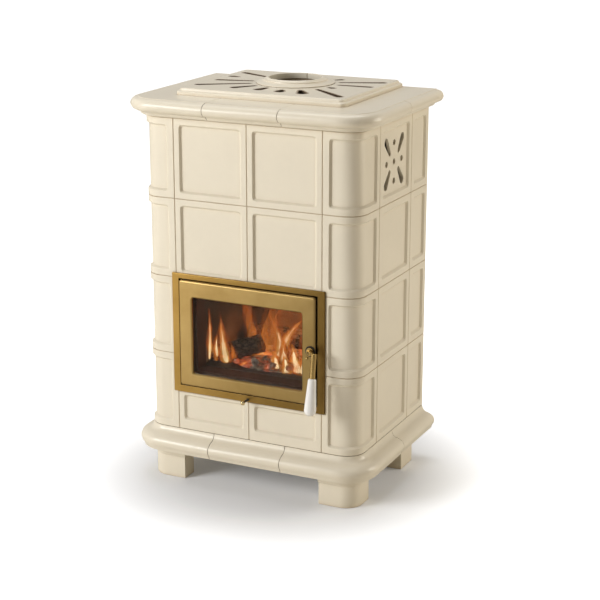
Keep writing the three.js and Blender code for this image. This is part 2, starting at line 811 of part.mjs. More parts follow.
// ---------------------------------------------------------------- chassis
function chassisBase() {
  const c = chassis;
  const [z0, top] = [tileBase, up(firebox.bottom) - seatGap];
  const right = [
    [chassisHalf, z0], [chassisHalf, z0 + c.sheet], [c.uprightAt, z0 + c.sheet], [c.uprightAt, top],
    [c.uprightAt - c.uprightFlange, top], [c.uprightAt - c.uprightFlange, top - c.sheet],
    [c.uprightAt - c.sheet, top - c.sheet], [c.uprightAt - c.sheet, z0 + c.sheet],
  ];
  const left = right.map(([x, z]) => [-x, z]).reverse();
  return alongY(polygonShape([...right, ...left]), tile.depth + c.setback, rearPlane - c.rearClearance);
}

function backSheet() {
  const b = backPanel;
  const half = chassisHalf;
  const tongueHalf = halfWidth - cornice.flangeInset - seatGap;
  const z0 = tileBase;
  const z1 = tilesTop + topCornice.height - cornice.flangeThickness - seatGap;
  const rear = rearPlane - b.setback;
  const sheet = box(-half, half, rear - b.sheet, rear, z0, z1);
  const tongue = box(-tongueHalf, tongueHalf, rear - b.sheet, rear, z1 - 1, plateBase - seatGap);
  const fold = (x0) => box(x0, x0 + b.sheet, rear - b.fold, rear, z0, z1);
  const slots = [];
  [z0 + b.slotInset, z1 - b.slotInset - b.slots * b.slotPitch].forEach((base) => {
    for (let i = 0; i < 2 * b.slots; i += 1) {
      const x = (i % 2 ? 1 : -1) * (half / 2);
      const z = base + Math.floor(i / 2) * b.slotPitch;
      slots.push(box(x - b.slotHalf, x + b.slotHalf, rear - 2 * b.sheet, rear + 1, z, z + b.slotHeight));
    }
  });
  return carve([sheet, tongue, fold(-half), fold(half - b.sheet)], slots);
}

// ---------------------------------------------------------------- door and surround
function loopFrame(rings) {
  return ringSurface(rings, onFront, { looped: true });
}

function grown(b, by) {
  return { s0: b.s0 - by, s1: b.s1 + by, z0: b.z0 - by, z1: b.z1 + by };
}

function doorSurround() {
  const s = surround;
  const outer = { s0: -s.halfWidth, s1: s.halfWidth, z0: up(s.bottom), z1: up(s.top) };
  const collar = grown(openingBox, s.collarWall);
  const frame = loopFrame([
    { box: outer, inset: 0, depth: -seatGap, radius: s.radius },
    { box: outer, inset: 0, depth: s.bevel - s.proud, radius: s.radius },
    { box: outer, inset: s.bevel, depth: -s.proud, radius: s.radius },
    { box: openingBox, inset: 0, depth: -s.proud, radius: s.openingRadius },
    { box: openingBox, inset: 0, depth: s.collarDepth, radius: s.openingRadius },
    { box: collar, inset: 0, depth: s.collarDepth, radius: s.openingRadius },
    { box: collar, inset: 0, depth: -seatGap, radius: s.openingRadius },
  ]);
  const rodHole = cylinderY(0, up(air.z), air.rodRadius + air.holeClearance, -s.proud - 5, 5, 16);
  const pinHole = (z0, z1) => cylinderZ(hinge.x, hinge.y, hinge.pinRadius + hinge.clearance, up(z0), up(z1), 16);
  return carve([frame], [
    rodHole,
    pinHole(s.openingTop - 1, s.openingTop + s.collarWall),
    pinHole(s.openingBottom - s.collarWall, s.openingBottom + 1),
  ]);
}

function doorFrame() {
  const d = door;
  const round = arcPoints(d.round, d.round - d.front, d.round, d.round, 180, 270, 3)
    .map(([inset, depth]) => ({ box: doorBox, inset, depth, radius: Math.max(d.round - inset, 1.5) }));
  const rebateBox = grown(glassBox, d.rebate);
  const rebateFloor = d.glassBack - d.glassThickness - seatGap;
  const frame = loopFrame([
    { box: doorBox, inset: 0, depth: d.back, radius: d.round },
    ...round,
    { box: grown(glassBox, d.glassBevel), inset: 0, depth: -d.front, radius: d.glassRadius + d.glassBevel },
    { box: glassBox, inset: 0, depth: d.glassBevel - d.front, radius: d.glassRadius },
    { box: glassBox, inset: 0, depth: rebateFloor, radius: d.glassRadius },
    { box: rebateBox, inset: 0, depth: rebateFloor, radius: d.glassRadius },
    { box: rebateBox, inset: 0, depth: d.back, radius: d.glassRadius },
  ]);
  const pinBore = (z0, z1) => cylinderZ(hinge.x, hinge.y, hinge.pinRadius + hinge.clearance, z0, z1, 16);
  const spindleBore = cylinderY(handle.pivotX, up(handle.pivotZ), handle.spindleRadius + seatGap, -d.front - 5, d.back + 5, 16);
  return carve([frame], [
    pinBore(doorBox.z1 - hinge.engagement, doorBox.z1 + 1),
    pinBore(doorBox.z0 - 1, doorBox.z0 + hinge.engagement),
    spindleBore,
  ]);
}

function doorGlass() {
  const pane = grown(glassBox, door.rebate - 2 * seatGap);
  return ringSurface([door.glassBack - door.glassThickness, door.glassBack].map((depth) => (
    { box: pane, inset: 0, depth, radius: door.glassRadius })), onFront);
}

function glassRetainer() {
  const outside = grown(glassBox, door.rebate - seatGap);
  const [front, back] = [door.glassBack + seatGap, door.glassBack + seatGap + door.retainer];
  return loopFrame([
    { box: outside, inset: 0, depth: front, radius: door.glassRadius },
    { box: glassBox, inset: 0, depth: front, radius: door.glassRadius },
    { box: glassBox, inset: 0, depth: back, radius: door.glassRadius },
    { box: outside, inset: 0, depth: back, radius: door.glassRadius },
  ]);
}

function doorSeal() {
  const path = { s0: -door.sealHalf, s1: door.sealHalf, z0: up(door.sealBottom), z1: up(door.sealTop) };
  const centre = door.back + seatGap + door.sealRadius;
  const section = arcPoints(0, centre, door.sealRadius, door.sealRadius, 0, 315, 7);
  return loopFrame(section.map(([out, depth]) => ({ box: grown(path, out), inset: 0, depth, radius: 10 + out })));
}

function hingePin(low, high) {
  const c = 0.6;
  const r = hinge.pinRadius;
  const profile = [[0, low], [r - c, low], [r, low + c], [r, high - c], [r - c, high], [0, high]];
  const points = profile.map(([x, z]) => new THREE.Vector2(x, z));
  return new THREE.LatheGeometry(points, 12).rotateX(Math.PI / 2).translate(hinge.x, hinge.y, 0);
}

function upperHingePin() {
  return hingePin(doorBox.z1 - hinge.engagement + seatGap, up(surround.openingTop + surround.collarWall) - seatGap);
}

function lowerHingePin() {
  return hingePin(up(surround.openingBottom - surround.collarWall) + seatGap, doorBox.z0 + hinge.engagement - seatGap);
}

// ---------------------------------------------------------------- handle
const rodDrop = handle.rodTop - handle.rodBottom;
const rodStart = new THREE.Vector3(handle.rodX, handle.rodY, up(handle.rodTop));
const rodEnd = new THREE.Vector3(handle.rodX, handle.rodY - rodDrop * handle.lean, up(handle.rodBottom));
const gripAxis = new THREE.Vector3(0, -handle.lean, -1).normalize();

// Turns a profile of [radius, distance] about the handle's line, from `start` down.
function turnedOnHandle(profile, start, sides) {
  const geometry = new THREE.LatheGeometry(profile.map(([r, along]) => new THREE.Vector2(r, along)), sides);
  const turn = new THREE.Quaternion().setFromUnitVectors(new THREE.Vector3(0, 1, 0), gripAxis);
  return geometry.applyQuaternion(turn).translate(start.x, start.y, start.z);
}

function handleLever() {
  const h = handle;
  const z = up(h.pivotZ);
  const face = -door.front - seatGap;
  const bossFront = face - h.bossDepth;
  const armEnd = rodStart.clone().addScaledVector(gripAxis, h.armDrop);
  const path = new THREE.CatmullRomCurve3([
    new THREE.Vector3(h.pivotX, face - 1, z),
    new THREE.Vector3(h.pivotX, bossFront - h.armReach / 2, z),
    new THREE.Vector3(h.pivotX + (h.rodX - h.pivotX) / 2, bossFront - h.armReach, z),
    armEnd,
  ], false, 'centripetal');
  const section = new THREE.Shape();
  section.absarc(0, 0, h.armRadius, 0, 2 * Math.PI, false);
  const arm = new THREE.ExtrudeGeometry(section, { steps: 8, curveSegments: 4, extrudePath: path });
  const length = rodStart.distanceTo(rodEnd);
  const e = h.rodEase;
  const rod = turnedOnHandle([[0, 0], [h.rodRadius - e, 0], [h.rodRadius, e], [h.rodRadius, length], [0, length]],
    rodStart, 18);
  const boss = cylinderY(h.pivotX, z, h.bossRadius, bossFront, face, 20);
  const hookBack = door.back + 1 + h.hookThickness;
  const spindle = cylinderY(h.pivotX, z, h.spindleRadius, face - 1, hookBack, 16);
  return carve([rod, arm, boss, spindle]);
}

function handleGrip() {
  const h = handle;
  const c = 2.5;
  const end = arcPoints(0, h.gripLength - h.gripBottom, h.gripBottom, h.gripBottom, 0, 90, 5).map(([r, z]) => [Math.max(r, 0), z]);
  const profile = [[0, 0], [h.gripTop - c, 0], [h.gripTop, c], ...end.slice(0, -1), [0, h.gripLength]];
  return turnedOnHandle(profile, rodEnd.clone().addScaledVector(gripAxis, seatGap), 20);
}

function latchHook() {
  const h = handle;
  const z = up(h.pivotZ);
  const y0 = door.back + 1;
  const half = h.hookWidth / 2;
  const hub = h.spindleRadius + seatGap;
  const shape = new THREE.Shape();
  const wall = 0.65;
  shape.moveTo(h.pivotX + h.hookReach, z - half);
  shape.lineTo(h.pivotX + h.hookReach, z + half);
  shape.lineTo(h.pivotX, z + hub + wall);
  shape.absarc(h.pivotX, z, hub + wall, Math.PI / 2, 1.5 * Math.PI, false);
  const hole = new THREE.Path();
  hole.absarc(h.pivotX, z, hub, 0, 2 * Math.PI, false);
  shape.holes.push(hole);
  return alongY(shape, y0, y0 + h.hookThickness, 6);
}

// ---------------------------------------------------------------- air control
function airRod() {
  const z = up(air.z);
  const shutterTop = up(firebox.bottom) - seatGap;
  const shutter = box(-air.shutterHalf, air.shutterHalf, air.shutterStart, air.shutterEnd,
    shutterTop - air.shutterThickness, shutterTop);
  const tab = box(-6, 6, air.shutterStart, air.shutterStart + 5, z - air.rodRadius, shutterTop - 1);
  const rod = cylinderY(0, z, air.rodRadius, air.knobY + air.knobRadius - 2 + seatGap, air.shutterStart + 2, 12);
  return carve([shutter, tab, rod]);
}

function airKnob() {
  const r = air.knobRadius;
  const flat = r - 2;
  const angle = THREE.MathUtils.radToDeg(Math.asin(flat / r));
  const profile = [[0, flat], ...arcPoints(0, 0, r, r, angle, -90, 6)];
  profile[profile.length - 1][0] = 0;
  const points = profile.map(([x, z]) => new THREE.Vector2(x, z));
  return new THREE.LatheGeometry(points, 16).translate(0, air.knobY, up(air.z));
}

// ---------------------------------------------------------------- assembly
const finishes = {
  glaze: { color: 0xe6dcc6, roughness: 0.3, metalness: 0 },
  brass: { color: 0xa58545, roughness: 0.4, metalness: 0.85 },
  cast: { color: 0x3b3634, roughness: 0.75, metalness: 0.5 },
  sheet: { color: 0x5a5a5c, roughness: 0.6, metalness: 0.6 },
  brick: { color: 0xcfb58a, roughness: 0.95, metalness: 0 },
  glass: { color: 0x9a8f86, roughness: 0.05, metalness: 0, transparent: true, opacity: 0.35 },
  rope: { color: 0x2c2a29, roughness: 1, metalness: 0 },
  porcelain: { color: 0xf4f2ee, roughness: 0.2, metalness: 0 },
};

const stove = new THREE.Group();

function add(name, geometry, finish) {
  const mesh = new THREE.Mesh(facingOut(welded(geometry)), new THREE.MeshStandardMaterial(finishes[finish]));
  mesh.name = name;
  stove.add(mesh);
}

function addPair(name, geometry, finish, suffix = '') {
  add(`${name}_left${suffix}`, mirrored(geometry), finish);
  add(`${name}_right${suffix}`, geometry, finish);
}

addPair('foot_front', frontFoot(), 'glaze');
addPair('foot_rear', rearFoot(), 'glaze');
const cornices = {
  ...cornicePieces('base_cornice', baseProfile(), foot.height, baseCornice.height - seatGap),
  ...cornicePieces('top_cornice', topProfile(), tilesTop + seatGap, topCornice.height - seatGap),
};
Object.entries(cornices).forEach(([name, geometry]) => add(name, geometry, 'glaze'));
add('top_plate', topPlate(), 'glaze');
add('flue_ring', flueRing(), 'glaze');
add('flue_pipe', fluePipe(), 'cast');
['left', 'right'].forEach((column) => {
  add(`front_tile_${column}_short`, shortTile(column), 'glaze');
  add(`front_tile_${column}_row3`, frontTile(column, 2), 'glaze');
  add(`front_tile_${column}_row4`, frontTile(column, 3), 'glaze');
});
for (let row = 0; row < tile.rows; row += 1) {
  addPair('corner_tile', cornerTile(row), 'glaze', `_row${row + 1}`);
}
addPair('side_tiles', tileColumn(plan.tileWidth, plan.cornerSide, tile.rows - 1), 'glaze');
addPair('side_vent_tile', ventTile(), 'glaze');
addPair('rear_tiles', tileColumn(plan.rearTile, plan.cornerSide + plan.tileWidth, tile.rows), 'glaze');
add('chassis_base', chassisBase(), 'sheet');
add('back_panel', backSheet(), 'sheet');
add('firebox_body', fireboxBody(), 'cast');
addPair('firebrick', sideBrick(), 'brick');
add('firebrick_back', backBrick(), 'brick');
add('baffle_plate', bafflePlate(), 'brick');
add('hearth_plate', hearthPlate(), 'cast');
add('grate', grate(), 'cast');
add('ash_pan', ashPan(), 'sheet');
add('door_surround', doorSurround(), 'brass');
add('door_frame', doorFrame(), 'brass');
add('door_glass', doorGlass(), 'glass');
add('glass_retainer', glassRetainer(), 'sheet');
add('door_seal', doorSeal(), 'rope');
add('hinge_pin_upper', upperHingePin(), 'sheet');
add('hinge_pin_lower', lowerHingePin(), 'sheet');
add('handle_lever', handleLever(), 'brass');
add('handle_grip', handleGrip(), 'porcelain');
add('latch_hook', latchHook(), 'cast');
add('air_control_rod', airRod(), 'sheet');
add('air_knob', airKnob(), 'brass');

// The origin is under the middle of the whole stove, on the floor.
const extent = new THREE.Box3().setFromObject(stove);
stove.position.set(0, -(extent.min.y + extent.max.y) / 2, -extent.min.z);

const group = new THREE.Group();
group.add(stove);
export default group;
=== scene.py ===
"""Tiled stove: glaze, brass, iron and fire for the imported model, its light and its view.

Laid out as an add-on: one operator for each group of like pieces and one for the stage.
Lengths are in metres, +Z up, and the stove's front faces -Y.
"""
import math

import bpy
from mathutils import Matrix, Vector


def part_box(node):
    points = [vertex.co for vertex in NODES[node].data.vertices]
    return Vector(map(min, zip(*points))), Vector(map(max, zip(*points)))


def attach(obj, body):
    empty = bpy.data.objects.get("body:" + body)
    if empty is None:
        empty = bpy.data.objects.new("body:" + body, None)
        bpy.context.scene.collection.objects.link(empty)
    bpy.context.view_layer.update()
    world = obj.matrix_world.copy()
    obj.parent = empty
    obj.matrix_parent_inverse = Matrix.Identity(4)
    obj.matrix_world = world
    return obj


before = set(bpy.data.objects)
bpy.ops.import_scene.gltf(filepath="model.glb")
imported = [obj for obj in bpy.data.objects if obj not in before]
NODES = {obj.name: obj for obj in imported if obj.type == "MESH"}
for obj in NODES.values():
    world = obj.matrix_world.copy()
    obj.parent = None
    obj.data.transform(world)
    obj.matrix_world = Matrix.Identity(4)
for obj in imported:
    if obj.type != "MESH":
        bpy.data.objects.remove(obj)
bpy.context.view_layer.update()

bl_info = {
    "name": "Tiled stove",
    "version": (1, 0, 0),
    "blender": (4, 5, 0),
    "location": "3D View > Sidebar > Stove",
    "description": "Finishes, small fasteners, fire and stage for a tiled stove",
    "category": "Object",
}

EVEN = (1.0, 1.0, 1.0)  # no stretch along any axis
LEAST_EDGE = 0.00005  # bevel on a piece that is given no edge


# ------------------------------------------------------------------ settings
class StoveGlazeSettings(bpy.types.PropertyGroup):
    colour: bpy.props.FloatVectorProperty(
        name="Glaze", description="Colour of the cream glaze", subtype="COLOR", size=3,
        min=0.0, max=1.0, default=(0.83, 0.765, 0.63))
    # Colour for the corners of the relief: partly thick glaze, partly painted shade.
    pooling_and_shade: bpy.props.FloatVectorProperty(
        name="Pooled glaze", description="Colour where the glaze runs thick in the corners of the relief",
        subtype="COLOR", size=3, min=0.0, max=1.0, default=(0.56, 0.42, 0.25))
    roughness: bpy.props.FloatProperty(
        name="Roughness", description="Roughness of the fired glaze", min=0.0, max=1.0, default=0.31)
    edge: bpy.props.FloatProperty(
        name="Edge", description="Radius that the glaze gives to a moulded edge", unit="LENGTH",
        min=0.0, default=0.0006)


class StoveMetalSettings(bpy.types.PropertyGroup):
    brass: bpy.props.FloatVectorProperty(
        name="Brass", description="Colour of the satin brass", subtype="COLOR", size=3,
        min=0.0, max=1.0, default=(0.50, 0.355, 0.145))
    # Darker brass round the door; its lighter left and darker right come from painted side light in
    # brass_material.
    surround: bpy.props.FloatVectorProperty(
        name="Surround brass", description="Colour of the heat-stained brass round the door",
        subtype="COLOR", size=3, min=0.0, max=1.0, default=(0.30, 0.192, 0.058))
    throat: bpy.props.FloatVectorProperty(
        name="Throat", description="Colour of the fired brown enamel on the firebox", subtype="COLOR", size=3,
        min=0.0, max=1.0, default=(0.055, 0.027, 0.018))
    brass_roughness: bpy.props.FloatProperty(
        name="Brass roughness", description="Roughness of the brass", min=0.0, max=1.0, default=0.36)
    iron: bpy.props.FloatVectorProperty(
        name="Cast iron", description="Colour of the cast iron", subtype="COLOR", size=3,
        min=0.0, max=1.0, default=(0.045, 0.04, 0.038))
    sheet: bpy.props.FloatVectorProperty(
        name="Steel sheet", description="Colour of the heat-proof paint on the sheet", subtype="COLOR", size=3,
        min=0.0, max=1.0, default=(0.06, 0.06, 0.062))
    edge: bpy.props.FloatProperty(
        name="Edge", description="Radius on the edges of the metal pieces", unit="LENGTH", min=0.0, default=0.0007)


class StoveFireSettings(bpy.types.PropertyGroup):
    core: bpy.props.FloatVectorProperty(
        name="Flame core", description="Colour of the hottest part of a flame", subtype="COLOR", size=3,
        min=0.0, max=1.0, default=(1.0, 0.90, 0.60))
    outer: bpy.props.FloatVectorProperty(
        name="Flame edge", description="Colour of the thin outside of a flame", subtype="COLOR", size=3,
        min=0.0, max=1.0, default=(1.0, 0.20, 0.03))
    strength: bpy.props.FloatProperty(
        name="Flame strength", description="Light given off by a flame", min=0.0, default=1.0)


class StoveStageSettings(bpy.types.PropertyGroup):
    key_power: bpy.props.FloatProperty(
        name="Key light", description="Power of the large lamp on the left", unit="POWER", min=0.0, default=178.0)
    fill_power: bpy.props.FloatProperty(
        name="Fill light", description="Power of the lamp on the right", unit="POWER", min=0.0, default=76.0)
    top_power: bpy.props.FloatProperty(
        name="Top light", description="Power of the lamp overhead", unit="POWER", min=0.0, default=66.0)
    lens: bpy.props.FloatProperty(
        name="Lens", description="Focal length on a 36 mm wide sensor", unit="CAMERA", min=1.0, default=96.0)
    yaw: bpy.props.FloatProperty(
        name="Yaw", description="Turn of the camera about the vertical", subtype="ANGLE",
        default=math.radians(25.7243))
    pitch: bpy.props.FloatProperty(
        name="Pitch", description="How far the camera looks down", subtype="ANGLE",
        default=math.radians(16.2216))
    eye: bpy.props.FloatVectorProperty(
        name="Eye", description="Where the camera stands", subtype="TRANSLATION", unit="LENGTH", size=3,
        default=(1.7457, -3.5087, 1.5988))


# ------------------------------------------------------------------ mesh helpers
def deselect_all():
    if bpy.context.object and bpy.context.object.mode != "OBJECT":
        bpy.ops.object.mode_set(mode="OBJECT")
    bpy.ops.object.select_all(action="DESELECT")


def take(piece):
    deselect_all()
    piece.select_set(True)
    bpy.context.view_layer.objects.active = piece


def settle(piece):
    """Puts the piece's place into its mesh, so its object sits at the origin."""
    take(piece)
    bpy.ops.object.transform_apply(location=True, rotation=True, scale=True)


def edit_all(piece):
    """Goes into edit mode with the whole piece selected."""
    take(piece)
    bpy.ops.object.mode_set(mode="EDIT")
    bpy.ops.mesh.select_all(action="SELECT")


def edit_none(piece, kind):
    """Clears the selection of one kind, and comes back to object mode to make another."""
    take(piece)
    bpy.ops.object.mode_set(mode="EDIT")
    bpy.ops.mesh.select_mode(type=kind)
    bpy.ops.mesh.select_all(action="DESELECT")
    bpy.ops.object.mode_set(mode="OBJECT")


def pick_faces(piece, wanted):
    """Goes into edit mode with only the wanted faces selected, by their centre and normal."""
    edit_none(piece, "FACE")
    for face in piece.data.polygons:
        face.select = wanted(face.center, face.normal)
    bpy.ops.object.mode_set(mode="EDIT")


def pick_edges(piece, wanted):
    """Goes into edit mode with only the wanted edges selected, by their two ends."""
    edit_none(piece, "EDGE")
    points = piece.data.vertices
    for edge in piece.data.edges:
        edge.select = wanted(*(points[i].co for i in edge.vertices))
    bpy.ops.object.mode_set(mode="EDIT")


def apply_modifier(piece, kind, **settings):
    """Puts one modifier on a piece and applies it."""
    modifier = piece.modifiers.new(kind.title(), kind)
    for key, value in settings.items():
        setattr(modifier, key, value)
    take(piece)
    bpy.ops.object.modifier_apply(modifier=modifier.name)


def cut_away(piece, blade):
    """Takes the blade's volume out of a piece, and the blade out of the scene."""
    apply_modifier(piece, "BOOLEAN", operation="DIFFERENCE", solver="EXACT", object=blade)
    bpy.data.objects.remove(blade)


def block(low, high):
    """Box between two corners, left active and in object mode."""
    deselect_all()
    low, high = Vector(low), Vector(high)
    bpy.ops.mesh.primitive_cube_add(size=1.0, location=(low + high) / 2, scale=high - low)
    piece = bpy.context.object
    settle(piece)
    return piece


def twin(piece, shift):
    """Copy of a piece with a mesh of its own, moved along by shift."""
    take(piece)
    bpy.ops.object.duplicate(linked=False)
    bpy.ops.transform.translate(value=shift)
    copy = bpy.context.object
    settle(copy)
    return copy


def finish_piece(piece, name, body, material):
    piece.name = name
    piece.data.name = name
    piece.data.materials.clear()
    piece.data.materials.append(material)
    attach(piece, body)
    return piece


def dress(node, material, edge=0.0, segments=2):
    """Gives a carried-over node its finish, with its edges eased."""
    piece = NODES[node]
    piece.data.materials.clear()
    piece.data.materials.append(material)
    for face in piece.data.polygons:
        face.use_smooth = True
    weld = piece.modifiers.new("Weld", "WELD")
    weld.merge_threshold = 0.00002
    bevel = piece.modifiers.new("Eased edges", "BEVEL")
    bevel.limit_method = "ANGLE"
    bevel.angle_limit = math.radians(30.0)
    bevel.width = max(edge, LEAST_EDGE)
    bevel.segments = segments if edge > 0 else 1
    bevel.harden_normals = True
    bevel.use_clamp_overlap = True
    even = piece.modifiers.new("Even shading", "WEIGHTED_NORMAL")
    even.mode = "FACE_AREA"
    even.weight = 50
    even.thresh = 0.01


# ------------------------------------------------------------------ node helpers
class Board:
    """Adds nodes to one tree and links them by name."""

    def __init__(self, tree):
        self.tree = tree

    def give(self, node, inputs):
        """Links each input that is given a socket, and sets the others."""
        for key, value in inputs.items():
            if isinstance(value, bpy.types.NodeSocket):
                self.tree.links.new(value, node.inputs[key])
            else:
                node.inputs[key].default_value = value

    def add(self, kind, inputs=None, **settings):
        node = self.tree.nodes.new(kind)
        for key, value in settings.items():
            setattr(node, key, value)
        self.give(node, inputs or {})
        return node

    def maths(self, operation, a, b=0.0, clamp=False):
        return self.add("ShaderNodeMath", {0: a, 1: b}, operation=operation, use_clamp=clamp).outputs[0]

    def times(self, a, b, clamp=False):
        return self.maths("MULTIPLY", a, b, clamp)

    def less(self, a, b, clamp=False):
        return self.maths("SUBTRACT", a, b, clamp)

    def scaled(self, value, factor, offset, clamp=False):
        return self.maths("ADD", self.times(value, factor), offset, clamp)

    def mix(self, factor, a, b, blend="MIX"):
        return self.add("ShaderNodeMix", {0: factor, 6: a, 7: b}, data_type="RGBA", blend_type=blend).outputs[2]

    def tint(self, colour, tone):
        """Colour times a grey tone."""
        grey = self.add("ShaderNodeCombineColor", {0: tone, 1: tone, 2: tone}).outputs[0]
        return self.mix(1.0, colour, grey, "MULTIPLY")

    def ramp(self, value, stops):
        node = self.add("ShaderNodeValToRGB", {0: value})
        elements = node.color_ramp.elements
        while len(elements) < len(stops):
            elements.new(0.5)
        for element, (position, colour) in zip(elements, stops):
            element.position = position
            element.color = colour
        return node.outputs[0]

    def place(self):
        return self.add("ShaderNodeTexCoord").outputs["Object"]

    def along(self, axis):
        return self.add("ShaderNodeSeparateXYZ", {0: self.place()}).outputs[axis]

    def stretched(self, factors):
        return self.add("ShaderNodeMapping", {"Vector": self.place(), "Scale": factors}).outputs[0]

    def noise(self, place, scale, detail, **more):
        inputs = {"Vector": place, "Scale": scale, "Detail": detail, **more}
        return self.add("ShaderNodeTexNoise", inputs).outputs["Fac"]

    def effect(self, tree, **inputs):
        return self.add("ShaderNodeGroup", inputs, node_tree=tree).outputs

    def mottle(self, scale, amount):
        return self.effect(mottle_group(), Scale=scale, Amount=amount)["Tone"]

    def hollow(self, reach, amount, start=0.0):
        return self.effect(hollow_group(), Reach=reach, Amount=amount, Start=start)["Mask"]

    def lip(self, width, amount):
        return self.effect(lip_group(), Width=width, Amount=amount)["Mask"]

    def worn(self, width, amount, share):
        return self.times(self.effect(edge_group(), Width=width, Amount=amount)["Mask"], share)

    def soot(self, clean, thick, amount):
        return self.effect(soot_group(), Clean=clean, Thick=thick, Amount=amount)["Mask"]

    def grain(self, scale, depth=1.0, stretch=EVEN):
        return self.effect(grain_group(), Stretch=stretch, Scale=scale, Depth=depth)

    def bump(self, shader, height, distance):
        node = self.add("ShaderNodeBump", {"Height": height, "Distance": distance, "Strength": 1.0})
        self.give(shader, {"Normal": node.outputs[0]})


def colour4(colour):
    return (*colour, 1.0)


def effect_group(name, inputs, outputs, build):
    """Makes a shader node group once and returns it. The inputs come with their defaults."""
    if name in bpy.data.node_groups:
        return bpy.data.node_groups[name]
    tree = bpy.data.node_groups.new(name, "ShaderNodeTree")
    for label, default in inputs.items():
        kind = "NodeSocketVector" if isinstance(default, tuple) else "NodeSocketFloat"
        tree.interface.new_socket(label, in_out="INPUT", socket_type=kind).default_value = default
    for label in outputs:
        tree.interface.new_socket(label, in_out="OUTPUT", socket_type="NodeSocketFloat")
    board = Board(tree)
    given = board.add("NodeGroupInput").outputs
    board.add("NodeGroupOutput", build(board, given))
    return tree


def mottle_group():
    """Slow change of tone over a surface."""
    def build(b, given):
        centred = b.less(b.noise(b.place(), given["Scale"], 3.0, Roughness=0.55), 0.5)
        return {"Tone": b.scaled(centred, given["Amount"], 1.0)}
    return effect_group("Slow mottle", {"Scale": 5.0, "Amount": 0.1}, ("Tone",), build)


def hollow_group():
    """Mask of corners and hollows, found by occlusion: painted shade and thick glaze on the glaze, patina on the
    brass, dust on the sheet.
    """
    def build(b, given):
        shade = b.add("ShaderNodeAmbientOcclusion", {"Distance": given["Reach"]}, samples=6).outputs["AO"]
        inverse = b.less(b.less(1.0, shade), given["Start"])
        return {"Mask": b.times(inverse, given["Amount"], clamp=True)}
    return effect_group("Hollows", {"Reach": 0.01, "Amount": 1.0, "Start": 0.0}, ("Mask",), build)


def lip_group():
    """Mask of the band beside an edge, found by how thin the piece is under the surface."""
    def build(b, given):
        shade = b.add("ShaderNodeAmbientOcclusion", {"Distance": given["Width"]}, samples=6, inside=True)
        return {"Mask": b.times(b.less(1.0, shade.outputs["AO"]), given["Amount"], clamp=True)}
    return effect_group("Lips", {"Width": 0.004, "Amount": 2.0}, ("Mask",), build)


def edge_group():
    """Mask of worn outer edges."""
    def build(b, given):
        eased = b.add("ShaderNodeBevel", {"Radius": given["Width"]}, samples=4).outputs[0]
        flat = b.add("ShaderNodeNewGeometry").outputs["Normal"]
        turn = b.add("ShaderNodeVectorMath", {0: eased, 1: flat}, operation="DOT_PRODUCT").outputs["Value"]
        bend = b.times(b.less(1.0, turn), given["Amount"], clamp=True)
        return {"Mask": b.times(bend, b.noise(b.place(), 90.0, 4.0), clamp=True)}
    return effect_group("Worn edges", {"Width": 0.001, "Amount": 4.0}, ("Mask",), build)


def grain_group():
    """Fine height for a cast, fired or painted surface."""
    def build(b, given):
        value = b.noise(b.stretched(given["Stretch"]), given["Scale"], 4.0, Roughness=0.6)
        return {"Height": b.times(value, given["Depth"]), "Value": value}
    inputs = {"Stretch": EVEN, "Scale": 400.0, "Depth": 1.0}
    return effect_group("Fine grain", inputs, ("Height", "Value"), build)


def soot_group():
    """Mask of soot that thickens with height between two levels, broken up by noise."""
    def build(b, given):
        spread = b.less(b.noise(b.place(), 14.0, 5.0), 0.5)
        ragged = b.maths("ADD", b.along("Z"), b.times(spread, 0.12))
        span = b.less(given["Thick"], given["Clean"])
        share = b.maths("DIVIDE", b.less(ragged, given["Clean"]), span, clamp=True)
        return {"Mask": b.times(share, given["Amount"], clamp=True)}
    return effect_group("Soot by height", {"Clean": 0.3, "Thick": 0.5, "Amount": 1.0}, ("Mask",), build)


def blank_material(name):
    material = bpy.data.materials.new(name)
    material.use_nodes = True
    material.node_tree.nodes.clear()
    return material, Board(material.node_tree)


def new_material(name):
    material, board = blank_material(name)
    shader = board.add("ShaderNodeBsdfPrincipled")
    board.add("ShaderNodeOutputMaterial", {"Surface": shader.outputs[0]})
    return material, board, shader


# ------------------------------------------------------------------ materials
def inside_box(b, low, high):
    """1 within a plan rectangle, 0 outside it."""
    mask = None
    for axis in (0, 1):
        middle, half = (low[axis] + high[axis]) / 2, (high[axis] - low[axis]) / 2
        within = b.maths("LESS_THAN", b.maths("ABSOLUTE", b.less(b.along(axis), middle)), half)
        mask = b.times(mask, within) if mask else within
    return mask


